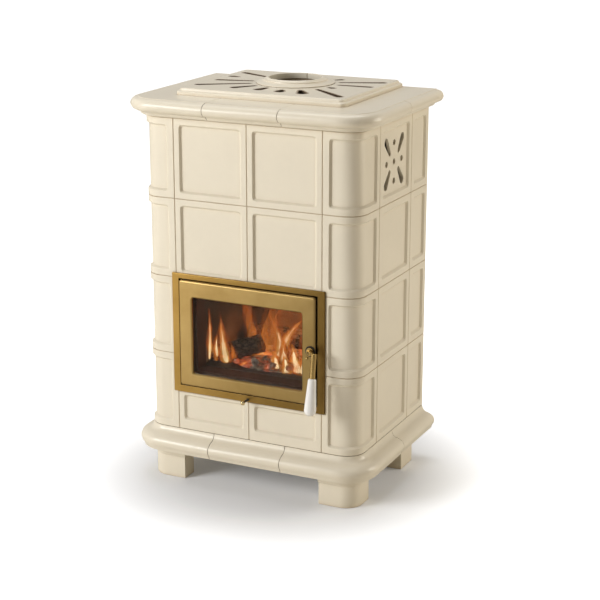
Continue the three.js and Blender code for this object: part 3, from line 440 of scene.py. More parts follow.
def glaze_material(name="Cream glaze", reach=0.004, amount=0.35, start=0.4, deep=(0.30, 0.22, 0.13), within=None):
    """Cream glaze, darker in the corners of the relief from thick glaze and painted shade, and darker down in
    joints, slots and hollows from painted shade and the real dark of the joints.
    """
    settings = bpy.context.scene.stove_glaze
    material, b, shader = new_material(name)
    # Painted shade in the corners of the relief, found by occlusion, with some real thick glaze there.
    body = b.mix(b.hollow(0.011, 0.75), colour4(settings.colour), colour4(settings.pooling_and_shade))
    # Painted shade down in joints, slots and hollows, found by occlusion, with the real dark of the joints.
    dark_joint_and_shade = b.hollow(reach, amount, start)
    body = b.mix(b.worn(0.0012, 2.2, 0.35), body, (0.86, 0.79, 0.66, 1.0))
    if within:
        field = inside_box(b, *within)
        # Painted shade on the rounded lips of the slots.
        body = b.mix(b.times(b.lip(0.006, 5.0), field), body, (0.25, 0.17, 0.095, 1.0))
        dark_joint_and_shade = b.times(dark_joint_and_shade, field)
    body = b.mix(dark_joint_and_shade, body, colour4(deep))
    slow = b.grain(26.0, stretch=(1.0, 1.0, 0.7))
    b.give(shader, {"Base Color": b.tint(b.tint(body, b.mottle(4.5, 0.07)), b.mottle(60.0, 0.035)),
                    "Roughness": b.scaled(slow["Value"], 0.06, settings.roughness - 0.03),
                    "IOR": 1.52, "Specular IOR Level": 0.4, "Coat Weight": 0.15, "Coat Roughness": 0.13})
    b.bump(shader, b.maths("ADD", slow["Height"], b.grain(700.0, 0.10)["Height"]), 0.00022)
    return material


def joint_material(name="Joint filler"):
    """Pale stove clay rubbed into the joints between the tiles."""
    material, b, shader = new_material(name)
    grain = b.grain(900.0)
    b.give(shader, {"Base Color": b.mix(grain["Value"], (0.50, 0.40, 0.27, 1.0), (0.78, 0.67, 0.50, 1.0)),
                    "Roughness": 0.9})
    b.bump(shader, grain["Height"], 0.0002)
    return material


def brass_material(name, colour, painted_side_light=(1.0, 1.0), stretch=(1.0, 1.0, 30.0), rough=0.0):
    """Satin brass, lighter on the left of the door and darker on its right by painted side light."""
    settings = bpy.context.scene.stove_metal
    material, b, shader = new_material(name)
    dull = [c * f for c, f in zip(colour, (0.70, 0.66, 0.58))]
    body = b.mix(b.scaled(b.grain(9.0)["Value"], 1.7, -0.45, clamp=True), colour4(dull), colour4(colour))
    # Painted light: the tone falls from left to right across the door, as the light does.
    side = b.scaled(b.along("X"), 2.5, 0.5, clamp=True)
    body = b.mix(1.0, body, b.mix(side, colour4([painted_side_light[0]] * 3), colour4([painted_side_light[1]] * 3)), "MULTIPLY")
    body = b.mix(b.hollow(0.008, 0.7), body, (0.09, 0.055, 0.02, 1.0))
    brushed = b.grain(60.0, 0.4, stretch)
    b.give(shader, {"Base Color": b.mix(b.worn(0.0012, 5.0, 0.6), body, (0.82, 0.66, 0.33, 1.0)),
                    "Metallic": 1.0,
                    "Roughness": b.scaled(brushed["Value"], 0.16, settings.brass_roughness + rough - 0.08)})
    b.bump(shader, brushed["Height"], 0.00012)
    return material


def iron_material(name="Cast iron", soot=0.5, colour=None):
    """Cast iron, sooted with height and worn bright on its edges."""
    base = colour or bpy.context.scene.stove_metal.iron
    material, b, shader = new_material(name)
    grain = b.grain(260.0)
    tone = b.mix(grain["Value"], colour4([c * 0.7 for c in base]), colour4([min(1.0, c * 1.5) for c in base]))
    tone = b.mix(b.soot(0.25, 0.6, soot), tone, (0.008, 0.0075, 0.007, 1.0))
    b.give(shader, {"Base Color": b.mix(b.worn(0.001, 4.0, 0.5), tone, (0.16, 0.15, 0.145, 1.0)),
                    "Metallic": 0.35, "Roughness": b.scaled(grain["Value"], 0.3, 0.52)})
    b.bump(shader, grain["Height"], 0.0005)
    return material


def enamel_material(name="Brown enamel"):
    """Fired brown enamel on the firebox, sooted above the fire."""
    material, b, shader = new_material(name)
    peel = b.grain(340.0, 0.7)
    body = b.tint(colour4(bpy.context.scene.stove_metal.throat), b.mottle(16.0, 0.5))
    body = b.mix(b.soot(0.5, 0.62, 0.8), body, (0.01, 0.009, 0.008, 1.0))
    b.give(shader, {"Base Color": b.mix(b.worn(0.001, 3.0, 0.4), body, (0.13, 0.085, 0.06, 1.0)),
                    "Roughness": b.scaled(peel["Value"], 0.2, 0.66), "Specular IOR Level": 0.25})
    b.bump(shader, peel["Height"], 0.0003)
    return material


def sheet_material(name="Painted sheet"):
    """Heat-proof paint on sheet steel, dusty in its corners."""
    material, b, shader = new_material(name)
    peel = b.grain(520.0, 0.6)
    body = b.tint(colour4(bpy.context.scene.stove_metal.sheet), b.mottle(7.0, 0.35))
    body = b.mix(b.times(b.hollow(0.02, 0.5), 0.5), body, (0.13, 0.12, 0.105, 1.0))
    b.give(shader, {"Base Color": b.mix(b.worn(0.0008, 4.0, 0.7), body, (0.32, 0.31, 0.30, 1.0)),
                    "Roughness": b.scaled(peel["Value"], 0.2, 0.45)})
    b.bump(shader, peel["Height"], 0.00025)
    return material


def brick_material(name="Firebrick"):
    material, b, shader = new_material(name)
    grain, coarse = b.grain(150.0), b.grain(30.0)
    tone = b.mix(coarse["Value"], (0.24, 0.155, 0.095, 1.0), (0.44, 0.32, 0.215, 1.0))
    tone = b.mix(b.times(grain["Value"], 0.35), tone, (0.17, 0.115, 0.075, 1.0))
    b.give(shader, {"Base Color": b.mix(b.soot(0.22, 0.40, 0.97), tone, (0.03, 0.022, 0.017, 1.0)),
                    "Roughness": 0.93})
    b.bump(shader, b.maths("ADD", grain["Height"], coarse["Height"]), 0.0012)
    return material


def glass_material(name="Ceramic glass"):
    material, b, shader = new_material(name)
    b.give(shader, {"Base Color": (0.93, 0.88, 0.82, 1.0), "Transmission Weight": 1.0, "IOR": 1.2,
                    "Roughness": b.less(b.mottle(9.0, 0.03), 0.985, clamp=True)})
    return material


def rope_material(name="Seal rope"):
    material, b, shader = new_material(name)
    twist = b.add("ShaderNodeTexWave", {"Vector": b.place(), "Scale": 120.0, "Distortion": 2.0, "Detail": 1.0},
                  bands_direction="DIAGONAL").outputs["Fac"]
    b.give(shader, {"Base Color": b.mix(twist, (0.035, 0.033, 0.032, 1.0), (0.16, 0.155, 0.15, 1.0)),
                    "Roughness": 0.95})
    b.bump(shader, twist, 0.0008)
    return material


def porcelain_material(name="White porcelain"):
    material, b, shader = new_material(name)
    ripple = b.grain(60.0, stretch=(1.0, 1.0, 0.4))
    b.give(shader, {"Base Color": b.tint((0.95, 0.945, 0.93, 1.0), b.mottle(22.0, 0.03)),
                    "Roughness": b.scaled(ripple["Value"], 0.06, 0.09),
                    "Coat Weight": 0.4, "Coat Roughness": 0.03})
    b.bump(shader, ripple["Height"], 0.00015)
    return material


def charred_material(name="Charred wood"):
    """Split log, burnt black in cracked squares, with embers in the deep cracks."""
    material, b, shader = new_material(name)
    cracks = b.add("ShaderNodeTexVoronoi", {"Vector": b.stretched((0.6, 1.0, 1.0)), "Scale": 115.0},
                   feature="DISTANCE_TO_EDGE")
    edge = b.times(cracks.outputs["Distance"], 7.0, clamp=True)
    heat = b.noise(b.place(), 14.0, 3.0)
    hot = b.scaled(heat, 6.0, -3.6, clamp=True)
    ash = b.scaled(heat, -6.0, 2.1, clamp=True)
    tone = b.mix(edge, (0.005, 0.004, 0.003, 1.0), (0.085, 0.064, 0.050, 1.0))
    glow = b.times(b.less(1.0, edge), hot)
    b.give(shader, {"Base Color": b.mix(b.times(ash, 0.6), tone, (0.33, 0.31, 0.29, 1.0)),
                    "Roughness": 0.9,
                    "Emission Color": b.mix(glow, (0.0, 0.0, 0.0, 1.0), (1.0, 0.28, 0.05, 1.0)),
                    "Emission Strength": 0.5})
    b.bump(shader, edge, 0.002)
    return material


def ember_material(name="Embers"):
    material, b, shader = new_material(name)
    lumps = b.add("ShaderNodeTexVoronoi", {"Vector": b.place(), "Scale": 70.0}).outputs["Distance"]
    hot = b.scaled(b.noise(b.place(), 24.0, 4.0), 4.0, -2.0, clamp=True)
    glow = b.ramp(hot, [(0.0, (0.0, 0.0, 0.0, 1.0)), (0.45, (0.6, 0.08, 0.01, 1.0)),
                        (0.8, (1.0, 0.36, 0.06, 1.0)), (1.0, (1.0, 0.72, 0.35, 1.0))])
    b.give(shader, {"Base Color": b.mix(lumps, (0.03, 0.024, 0.02, 1.0), (0.26, 0.235, 0.21, 1.0)),
                    "Roughness": 0.95, "Emission Color": glow, "Emission Strength": 0.7})
    b.bump(shader, lumps, 0.004)
    return material


def flame_material(name, colour, strength, alpha, fade, streak=46.0, contrast=2.6, fill=0.72):
    """Glowing gas: it thins towards the tip, in wisps that rise."""
    material, b, shader = new_material(name)
    wisp = b.noise(b.stretched((1.0, 1.0, 0.22)), streak, 3.0, Distortion=0.6)
    share = b.maths("DIVIDE", b.less(b.along("Z"), fade[0]), fade[1] - fade[0], clamp=True)
    thinning = b.less(1.0, b.maths("POWER", share, 2.2))
    wisps = b.scaled(b.less(wisp, 0.5), contrast, fill, clamp=True)
    b.give(shader, {"Base Color": (0.0, 0.0, 0.0, 1.0), "Roughness": 1.0, "Specular IOR Level": 0.0,
                    "Emission Color": b.mix(share, colour4(colour), colour4(bpy.context.scene.stove_fire.outer)),
                    "Emission Strength": strength,
                    "Alpha": b.times(b.times(wisps, thinning, clamp=True), alpha)})
    return material


# ------------------------------------------------------------------ pieces
# Joints between the tiles, and the filler in them: how deep it lies, half its thickness, how far it goes in.
TILE_GAP = 0.0003
FILLER_SUNK, FILLER_HALF, FILLER_DEPTH = 0.0003, 0.00012, 0.005
CORNER_RADIUS = 0.050
OPEN_BACK = 0.2585  # half the width left free at the back of a level joint


def joint_band(level, open_front):
    """Filler in one level joint: round both front corners and along the sides, open at the back."""
    (left, front, _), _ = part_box("corner_tile_left_row1")
    _, (_, rear, _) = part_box("rear_tiles_left")
    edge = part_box("corner_tile_right_row1")[0][0]
    band = block((left + FILLER_SUNK, front + FILLER_SUNK, level - FILLER_HALF),
                 (-left - FILLER_SUNK, rear - 0.0005, level + FILLER_HALF))
    pick_edges(band, lambda a, b: a.y < 0 and b.y < 0 and abs(a.x - b.x) < 1e-5)
    bpy.ops.mesh.bevel(offset=CORNER_RADIUS - FILLER_SUNK, segments=12, affect="EDGES")
    pick_faces(band, lambda centre, normal: abs(normal.z) > 0.9)
    bpy.ops.mesh.inset(thickness=FILLER_DEPTH, use_boundary=True)
    bpy.ops.mesh.bridge_edge_loops()
    bpy.ops.object.mode_set(mode="OBJECT")
    gaps = [(OPEN_BACK, rear - 0.02, rear + 0.01)]
    if open_front:
        gaps.append((edge, front - 0.01, front + 0.02))
    for half, near, far in gaps:
        cut_away(band, block((-half, near, level - 0.01), (half, far, level + 0.01)))
    return band


def joint_filler(material):
    """All the filler between the tiles, as one piece."""
    (left, front, foot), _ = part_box("corner_tile_left_row1")
    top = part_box("corner_tile_left_row4")[1][2]
    middle = TILE_GAP / 2
    parts = [joint_band(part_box(f"corner_tile_left_row{row}")[0][2] - middle, row < 4) for row in (2, 3, 4)]
    upper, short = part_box("front_tile_left_row3")[0][2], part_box("front_tile_left_short")[1][2]
    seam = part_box("corner_tile_right_row1")[0][0] - middle
    near = front + FILLER_SUNK
    for x, low, high in ((0.0, foot, short), (0.0, upper, top), (-seam, foot, top), (seam, foot, top)):
        parts.append(block((x - FILLER_HALF, near, low), (x + FILLER_HALF, near + FILLER_DEPTH, high)))
    for node in ("side_tiles_left", "rear_tiles_left"):
        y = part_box(node)[0][1] - middle
        for x in (left + FILLER_SUNK, -left - FILLER_SUNK - FILLER_DEPTH):
            parts.append(block((x, y - FILLER_HALF, foot), (x + FILLER_DEPTH, y + FILLER_HALF, top)))
    take(parts[0])
    for part in parts:
        part.select_set(True)
    bpy.ops.object.join()
    return finish_piece(parts[0], "joint_filler", "stove", material)


PLATE_RIM = 0.012  # width of the top plate's border left without the painted slot shade


class StoveCeramics(bpy.types.Operator):
    """Glaze the tiles, the two cornices, the feet, the top plate and the flue ring."""
    bl_idname = "stove.ceramics"
    bl_label = "Glaze the ceramics"

    def execute(self, context):
        edge = context.scene.stove_glaze.edge
        material = glaze_material()
        kinds = ("front_tile", "corner_tile", "side_tiles", "side_vent_tile", "rear_tiles", "base_cornice",
                 "top_cornice", "foot_", "top_plate", "flue_ring")
        glazed = [name for name in NODES if name.startswith(kinds)]
        if len(glazed) < 30:
            raise RuntimeError("some ceramic pieces are missing")
        # Cornices: dark joints, with painted shade in the other hollows within reach.
        jointed = glaze_material("Cornice glaze", 0.006, 4.0, 0.42, (0.11, 0.07, 0.04))
        low, high = (Vector(corner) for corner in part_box("top_plate"))
        rim = Vector((PLATE_RIM, PLATE_RIM, 0.0))
        # Top plate: strong painted shade on the walls of its slots and round them, inside the rim.
        pierced = glaze_material("Pierced plate glaze", 0.024, 5.0, 0.16, (0.085, 0.056, 0.032),
                                 (low + rim, high - rim))
        # Vent tile: painted shade in its slots, stronger than on the other tiles.
        vented = glaze_material("Vent tile glaze", 0.004, 0.8)
        special = {"cornice": jointed, "top_plate": pierced, "vent": vented}
        for name in glazed:
            finish = next((special[word] for word in special if word in name), material)
            dress(name, finish, edge if "tile" in name else edge * 2, segments=3)
        joint_filler(joint_material())
        return {"FINISHED"}


class StoveBrass(bpy.types.Operator):
    """Finish the door surround, the door frame, the lever and the air knob in satin brass."""
    bl_idname = "stove.brass"
    bl_label = "Finish the brass"

    def execute(self, context):
        settings = context.scene.stove_metal
        lever = brass_material("Lever brass", [c * 1.2 for c in settings.brass], stretch=EVEN, rough=-0.1)
        finishes = {
            # Surround and door frame: left lit and right shaded by painted side light.
            "door_surround": brass_material("Surround brass", settings.surround, (1.9, 0.75)),
            "door_frame": brass_material("Door brass", settings.brass, (1.25, 0.8)),
            "handle_lever": lever,
            "air_knob": brass_material("Polished brass", (0.86, 0.72, 0.44), stretch=EVEN, rough=-0.2),
        }
        for name, finish in finishes.items():
            dress(name, finish, settings.edge)
        door_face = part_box("door_frame")[0][1]
        rosette(door_face, iron_material("Dark rosette steel", 0.0, (0.018, 0.016, 0.015)))
        latch_stop(door_face, lever)
        return {"FINISHED"}


SPINDLE = (0.176, 0.402)  # x and z of the handle's spindle
LATCH_STOP = (0.167, 0.384)


def rosette(door_face, material):
    """Flattened dark ring round the foot of the spindle boss."""
    deselect_all()
    place = (SPINDLE[0], door_face - 0.0009, SPINDLE[1])
    bpy.ops.mesh.primitive_torus_add(major_segments=48, minor_segments=12, major_radius=0.0122,
                                     minor_radius=0.0016, location=place, rotation=(math.pi / 2, 0.0, 0.0))
    ring = bpy.context.object
    edit_all(ring)
    bpy.ops.transform.resize(value=(1.0, 0.5, 1.0), center_override=place)
    bpy.ops.object.mode_set(mode="OBJECT")
    bpy.ops.object.shade_smooth()
    settle(ring)
    return finish_piece(ring, "handle_rosette", "door", material)


def stud(place, radius, height, axis):
    """Small domed stud or screw head standing on a face; axis is 1 or -1 along Y."""
    deselect_all()
    middle = (place[0], place[1] + axis * height / 2, place[2])
    bpy.ops.mesh.primitive_cylinder_add(vertices=24, radius=radius, depth=height, location=middle,
                                        rotation=(-axis * math.pi / 2, 0.0, 0.0))
    head = bpy.context.object
    apply_modifier(head, "BEVEL", width=height * 0.45, segments=4, limit_method="ANGLE")
    bpy.ops.object.shade_smooth_by_angle(angle=math.radians(40))
    settle(head)
    return head


def latch_stop(door_face, material):
    piece = stud((LATCH_STOP[0], door_face, LATCH_STOP[1]), 0.0024, 0.0045, -1)
    return finish_piece(piece, "latch_stop", "door", material)


class StoveIron(bpy.types.Operator):
    """Finish the cast iron: firebox, hearth, grate, flue pipe and latch hook."""
    bl_idname = "stove.iron"
    bl_label = "Finish the cast iron"

    def execute(self, context):
        edge = context.scene.stove_metal.edge
        iron = iron_material()
        for name in ("hearth_plate", "grate", "latch_hook"):
            dress(name, iron, edge)
        dress("firebox_body", enamel_material(), edge)
        dress("flue_pipe", iron_material("Sooty flue pipe", 1.0), edge)
        return {"FINISHED"}


SHADE_SHEET_WIDTH, SHADE_SHEET_HEIGHT, SHADE_SHEET_GAUGE, SHADE_SHEET_REACH = 0.150, 0.088, 0.001, 0.0115
SCREW_RADIUS, SCREW_HEIGHT = 0.0048, 0.0009


def shade_sheet(place):
    """Folded sheet that stands off the back panel in front of its upper slots, put where there is only shade to
    darken the view in through the vents.
    """
    x, y, z = place
    fold = SHADE_SHEET_WIDTH / 2 - SHADE_SHEET_GAUGE
    deselect_all()
    bpy.ops.mesh.primitive_cube_add(size=1.0, location=place,
                                    scale=(SHADE_SHEET_WIDTH, SHADE_SHEET_GAUGE, SHADE_SHEET_HEIGHT))
    sheet = bpy.context.object
    settle(sheet)
    for side in (-1, 1):
        edit_all(sheet)
        bpy.ops.mesh.bisect(plane_co=(x + side * fold, y, z), plane_no=(1, 0, 0))
    pick_faces(sheet, lambda centre, normal: normal.y > 0.9 and abs(centre.x - x) > fold)
    bpy.ops.mesh.extrude_region_move(TRANSFORM_OT_translate={"value": (0, SHADE_SHEET_REACH, 0)})
    bpy.ops.object.mode_set(mode="OBJECT")
    apply_modifier(sheet, "BEVEL", width=0.0003, segments=2, limit_method="ANGLE")
    return sheet


def panel_screw(place):
    """Flat round-headed screw with a cross recess."""
    head = stud(place, SCREW_RADIUS, SCREW_HEIGHT, 1)
    for turn in (0.0, math.pi / 2):
        deselect_all()
        bpy.ops.mesh.primitive_cube_add(size=1.0, location=(place[0], place[1] + SCREW_HEIGHT, place[2]),
                                        rotation=(0.0, turn, 0.0))
        blade = bpy.context.object
        blade.scale = (0.0054, 0.0010, 0.0011)
        cut_away(head, blade)
    return head


class StoveSheet(bpy.types.Operator):
    """Finish the sheet steel: chassis, back panel, ash pan, retainer, pins and air shutter."""
    bl_idname = "stove.sheet"
    bl_label = "Finish the sheet steel"

    def execute(self, context):
        sheet = sheet_material()
        for name in ("chassis_base", "back_panel", "ash_pan", "glass_retainer", "hinge_pin_upper",
                     "hinge_pin_lower", "air_control_rod"):
            dress(name, sheet, 0.0004)
        (left, _, _), (right, _, _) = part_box("chassis_base")
        (_, _, foot), (_, rear, head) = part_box("back_panel")
        screws = {f"panel_screw_{column}_{row}": Vector((x, rear, z))
                  for column, x in enumerate((left + 0.012, right - 0.012), 1)
                  for row, z in enumerate((foot + 0.015, (foot + head) / 2, head - 0.045), 1)}
        # Sheets behind the vent slots: they stand for the shade inside the stove, so no light shows through.
        shade_sheets = {f"draught_deflector_{side}": Vector((x, rear - 0.0155, head - 0.108))
                      for side, x in (("left", left / 2), ("right", right / 2))}
        for places, model in ((screws, panel_screw), (shade_sheets, shade_sheet)):
            first, *rest = places.values()
            original = model(first)
            pieces = [original, *(twin(original, place - first) for place in rest)]
            for name, piece in zip(places, pieces):
                finish_piece(piece, name, "stove", sheet)
        return {"FINISHED"}


class StoveLining(bpy.types.Operator):
    """Finish the firebricks and the baffle."""
    bl_idname = "stove.lining"
    bl_label = "Finish the lining"

    def execute(self, context):
        brick = brick_material()
        for name in ("firebrick_left", "firebrick_right", "firebrick_back", "baffle_plate"):
            dress(name, brick, 0.0012)
        return {"FINISHED"}


class StoveDoorParts(bpy.types.Operator):
    """Finish the door glass, its sealing rope and the porcelain grip."""
    bl_idname = "stove.door_parts"
    bl_label = "Finish the glass, rope and grip"

    def execute(self, context):
        dress("door_glass", glass_material(), 0.0004)
        dress("door_seal", rope_material())
        dress("handle_grip", porcelain_material(), 0.0012, 3)
        return {"FINISHED"}


# Spine of each flame: x and z at its foot, middle and tip, then its depth (y), its width and its shells.
BRIGHT, DIM, VEIL = ("core", "heart", "body", "haze", "halo"), ("body", "haze", "halo"), ("veil",)
FLAMES = (
    (((-0.147, 0.312), (-0.144, 0.383), (-0.146, 0.444)), -0.112, 0.015, BRIGHT),
    (((-0.131, 0.308), (-0.139, 0.334), (-0.145, 0.360)), -0.104, 0.014, DIM),
    (((-0.110, 0.303), (-0.117, 0.343), (-0.127, 0.430)), -0.090, 0.034, BRIGHT),
    (((-0.131, 0.318), (-0.133, 0.346), (-0.130, 0.376)), -0.100, 0.016, BRIGHT),
    (((-0.091, 0.308), (-0.100, 0.332), (-0.105, 0.360)), -0.075, 0.014, DIM),
    (((-0.046, 0.303), (-0.060, 0.345), (-0.086, 0.470)), -0.030, 0.046, DIM),
    (((-0.030, 0.303), (-0.044, 0.350), (-0.020, 0.470)), 0.020, 0.066, DIM),
    (((-0.012, 0.303), (0.026, 0.346), (-0.002, 0.425)), -0.050, 0.034, BRIGHT),
    (((0.052, 0.303), (0.044, 0.330), (0.043, 0.380)), -0.070, 0.040, BRIGHT),
    (((0.022, 0.308), (0.034, 0.368), (0.086, 0.432)), -0.036, 0.036, BRIGHT),
    (((0.086, 0.301), (0.082, 0.326), (0.070, 0.378)), -0.080, 0.052, BRIGHT),
    (((0.086, 0.305), (0.098, 0.340), (0.084, 0.392)), -0.045, 0.038, DIM),
    (((0.112, 0.300), (0.108, 0.320), (0.118, 0.366)), -0.085, 0.050, BRIGHT),
    (((0.060, 0.300), (0.064, 0.314), (0.052, 0.352)), -0.092, 0.046, BRIGHT),
    (((0.028, 0.300), (0.032, 0.314), (0.020, 0.350)), -0.085, 0.040, BRIGHT),
    (((0.060, 0.320), (0.090, 0.385), (0.060, 0.490)), 0.050, 0.066, DIM),
    (((0.105, 0.320), (0.118, 0.385), (0.110, 0.470)), 0.020, 0.050, DIM),
    (((-0.030, 0.310), (-0.010, 0.400), (-0.050, 0.520)), 0.085, 0.120, VEIL),
    (((0.050, 0.310), (0.080, 0.400), (0.040, 0.525)), 0.100, 0.150, VEIL),
)
# Height and width of each ring of a flame, as shares of the whole.
FLAME_RINGS = ((0.0, 0.4), (0.1, 0.82), (0.25, 1.0), (0.42, 0.93), (0.6, 0.7), (0.78, 0.42), (0.92, 0.17),
               (1.0, 0.03))
# Width and height of each shell, as shares of its flame's.
FLAME_SHELLS = {"core": (0.40, 0.80), "heart": (0.62, 0.89), "body": (0.86, 0.96), "haze": (1.18, 1.02),
                "halo": (1.6, 1.06), "veil": (0.8, 0.92)}


def spine_point(spine, depth, share):
    """Point on the curve through a flame's foot, middle and tip."""
    a, b, c = ((1 - share) * (1 - 2 * share), 4 * share * (1 - share), share * (2 * share - 1))
    x, z = (a * spine[0][i] + b * spine[1][i] + c * spine[2][i] for i in (0, 1))
    return Vector((x, depth, z))


def tongue(name, spine, depth, width, reach, material):
    """One closed tongue of flame, drawn up ring by ring."""
    deselect_all()
    foot = spine_point(spine, depth, 0.0)
    bpy.ops.mesh.primitive_circle_add(vertices=12, radius=width / 2, fill_type="NGON", location=foot)
    piece = bpy.context.object
    edit_all(piece)
    bpy.ops.transform.resize(value=(FLAME_RINGS[0][1], FLAME_RINGS[0][1] * 0.5, 1.0), center_override=foot)
    for (low, narrow), (high, wide) in zip(FLAME_RINGS, FLAME_RINGS[1:]):
        start, end = (spine_point(spine, depth, share * reach) for share in (low, high))
        bpy.ops.mesh.extrude_region_move(TRANSFORM_OT_translate={"value": end - start})
        ratio = wide / narrow
        bpy.ops.transform.resize(value=(ratio, ratio, 1.0), center_override=end)
    bpy.ops.mesh.select_all(action="SELECT")
    bpy.ops.mesh.normals_make_consistent(inside=False)
    bpy.ops.object.mode_set(mode="OBJECT")
    apply_modifier(piece, "SUBSURF", levels=1, render_levels=1)
    settle(piece)
    roughened(piece, width * 1.1 + 0.004, width * 0.42, 1)
    return finish_piece(piece, name, "stove", material)


def roughened(piece, size, depth, levels):
    """Breaks up a piece's surface with cloudy lumps."""
    apply_modifier(piece, "SUBSURF", subdivision_type="SIMPLE", levels=levels, render_levels=levels)
    lumps = bpy.data.textures.new("Lumps", "CLOUDS")
    lumps.noise_scale = size
    apply_modifier(piece, "DISPLACE", texture=lumps, texture_coords="LOCAL", strength=depth, mid_level=0.5)
    bpy.ops.object.shade_smooth()


def split_log(name, centre, length, radius, turn, tilt, material):
    """A log split once along its length, its ends sawn."""
    deselect_all()
    bpy.ops.mesh.primitive_cylinder_add(vertices=18, radius=radius, depth=length, rotation=(0, math.pi / 2, 0))
    piece = bpy.context.object
    bpy.ops.object.transform_apply(location=False, rotation=True, scale=False)
    edit_all(piece)
    bpy.ops.mesh.bisect(plane_co=(0, radius * 0.7, 0), plane_no=(0, 1, 0.25), use_fill=True, clear_outer=True)
    for cut in (-0.38, -0.18, 0.05, 0.24, 0.41):
        bpy.ops.mesh.select_all(action="SELECT")
        bpy.ops.mesh.bisect(plane_co=(cut * length, 0, 0), plane_no=(1, 0, 0))
    bpy.ops.mesh.select_all(action="SELECT")
    bpy.ops.mesh.quads_convert_to_tris()
    bpy.ops.object.mode_set(mode="OBJECT")
    roughened(piece, radius * 0.5, radius * 0.28, 2)
    piece.rotation_euler = (0.3, tilt, turn)
    piece.location = centre
    settle(piece)
    return finish_piece(piece, name, "stove", material)


def ember_bed(material):
    """Low bed of coals over the hearth, cut level before it is roughened."""
    deselect_all()
    bpy.ops.mesh.primitive_uv_sphere_add(segments=40, ring_count=20, radius=1.0, location=(0, 0.012, 0.300))
    bed = bpy.context.object
    bed.scale = (0.150, 0.118, 0.013)
    bpy.ops.object.transform_apply(location=True, rotation=True, scale=True)
    edit_all(bed)
    bpy.ops.mesh.bisect(plane_co=(0, 0, 0.3005), plane_no=(0, 0, 1), use_fill=True, clear_inner=True)
    bpy.ops.object.mode_set(mode="OBJECT")
    roughened(bed, 0.016, 0.006, 1)
    return finish_piece(bed, "ember_bed", "stove", material)


# Place (x, y) and radius of each coal.
COALS = ((-0.12, -0.07, 0.011), (-0.08, -0.09, 0.009), (-0.03, -0.085, 0.012), (0.02, -0.09, 0.010),
         (0.07, -0.085, 0.013), (0.115, -0.07, 0.011), (-0.135, -0.02, 0.010), (0.13, -0.02, 0.012),
         (-0.01, -0.055, 0.013), (0.05, -0.05, 0.010))


def coals(material):
    """Loose coals on the bed, each of its own size and turn."""
    for number, (x, y, radius) in enumerate(COALS, 1):
        deselect_all()
        bpy.ops.mesh.primitive_ico_sphere_add(subdivisions=2, radius=radius)
        coal = bpy.context.object
        coal.scale = (1.25, 0.9, 0.8)
        coal.rotation_euler = (0.4 * number, 0.3, 0.9 * number)
        bpy.ops.object.transform_apply(location=False, rotation=True, scale=True)
        roughened(coal, radius * 0.7, radius * 0.5, 1)
        coal.location = (x, y, 0.304 + radius * 0.8)
        settle(coal)
        finish_piece(coal, f"coal_{number}", "stove", material)


class StoveFire(bpy.types.Operator):
    """Lay the logs on their embers and light them."""
    bl_idname = "stove.fire"
    bl_label = "Lay the fire"

    def execute(self, context):
        settings = context.scene.stove_fire
        char, glow = charred_material(), ember_material()
        ember_bed(glow)
        coals(glow)
        split_log("log_left", (-0.100, -0.046, 0.327), 0.135, 0.024, 0.32, -0.30, char)
        split_log("log_right", (0.078, 0.035, 0.343), 0.14, 0.025, -1.05, 0.10, char)
        split_log("log_back", (0.0, 0.088, 0.330), 0.25, 0.028, 0.06, 0.0, char)
        # Colour, light, opacity, the heights it thins between, then the wisps' scale, contrast and fill.
        looks = {
            "core": (settings.core, 1.3, 0.6, (0.345, 0.45)),
            "heart": ((1.0, 0.64, 0.20), 0.95, 0.26, (0.33, 0.47), 60.0),
            "body": ((1.0, 0.40, 0.08), 1.0, 0.18, (0.31, 0.49), 80.0, 4.0, 0.6),
            "haze": ((1.0, 0.27, 0.05), 1.0, 0.12, (0.30, 0.51), 90.0, 5.0, 0.5),
            "halo": ((1.0, 0.22, 0.045), 0.9, 0.07, (0.30, 0.53), 90.0, 5.0, 0.5),
            "veil": ((1.0, 0.27, 0.06), 0.9, 0.2, (0.34, 0.53), 26.0, 4.2, 0.42),
        }
        finishes = {shell: flame_material(f"Flame {shell}", colour, light * settings.strength, *rest)
                    for shell, (colour, light, *rest) in looks.items()}
        for number, (spine, depth, width, shells) in enumerate(FLAMES, 1):
            for shell in shells:
                share, reach = FLAME_SHELLS[shell]
                tongue(f"flame_{number}_{shell}", spine, depth, width * share, reach, finishes[shell])
        return {"FINISHED"}


# ------------------------------------------------------------------ stage
WHITE = (1.0, 1.0, 1.0, 1.0)
SENSOR_WIDTH = 36.0  # mm


def look_at(obj, target):
    direction = Vector(target) - obj.location
    obj.rotation_euler = direction.to_track_quat("-Z", "Y").to_euler()


def add_lamp(name, kind, place, power, colour, **settings):
    light = bpy.data.lights.new(name, kind)
    light.energy = power
    light.color = colour
    for key, value in settings.items():
        setattr(light, key, value)
    lamp = bpy.data.objects.new(name, light)
    bpy.context.collection.objects.link(lamp)
    lamp.location = place
    return lamp


def softbox(name, place, target, size, power, colour=(1.0, 1.0, 1.0)):
    lamp = add_lamp(name, "AREA", place, power, colour, shape="RECTANGLE", size=size[0], size_y=size[1])
    look_at(lamp, target)


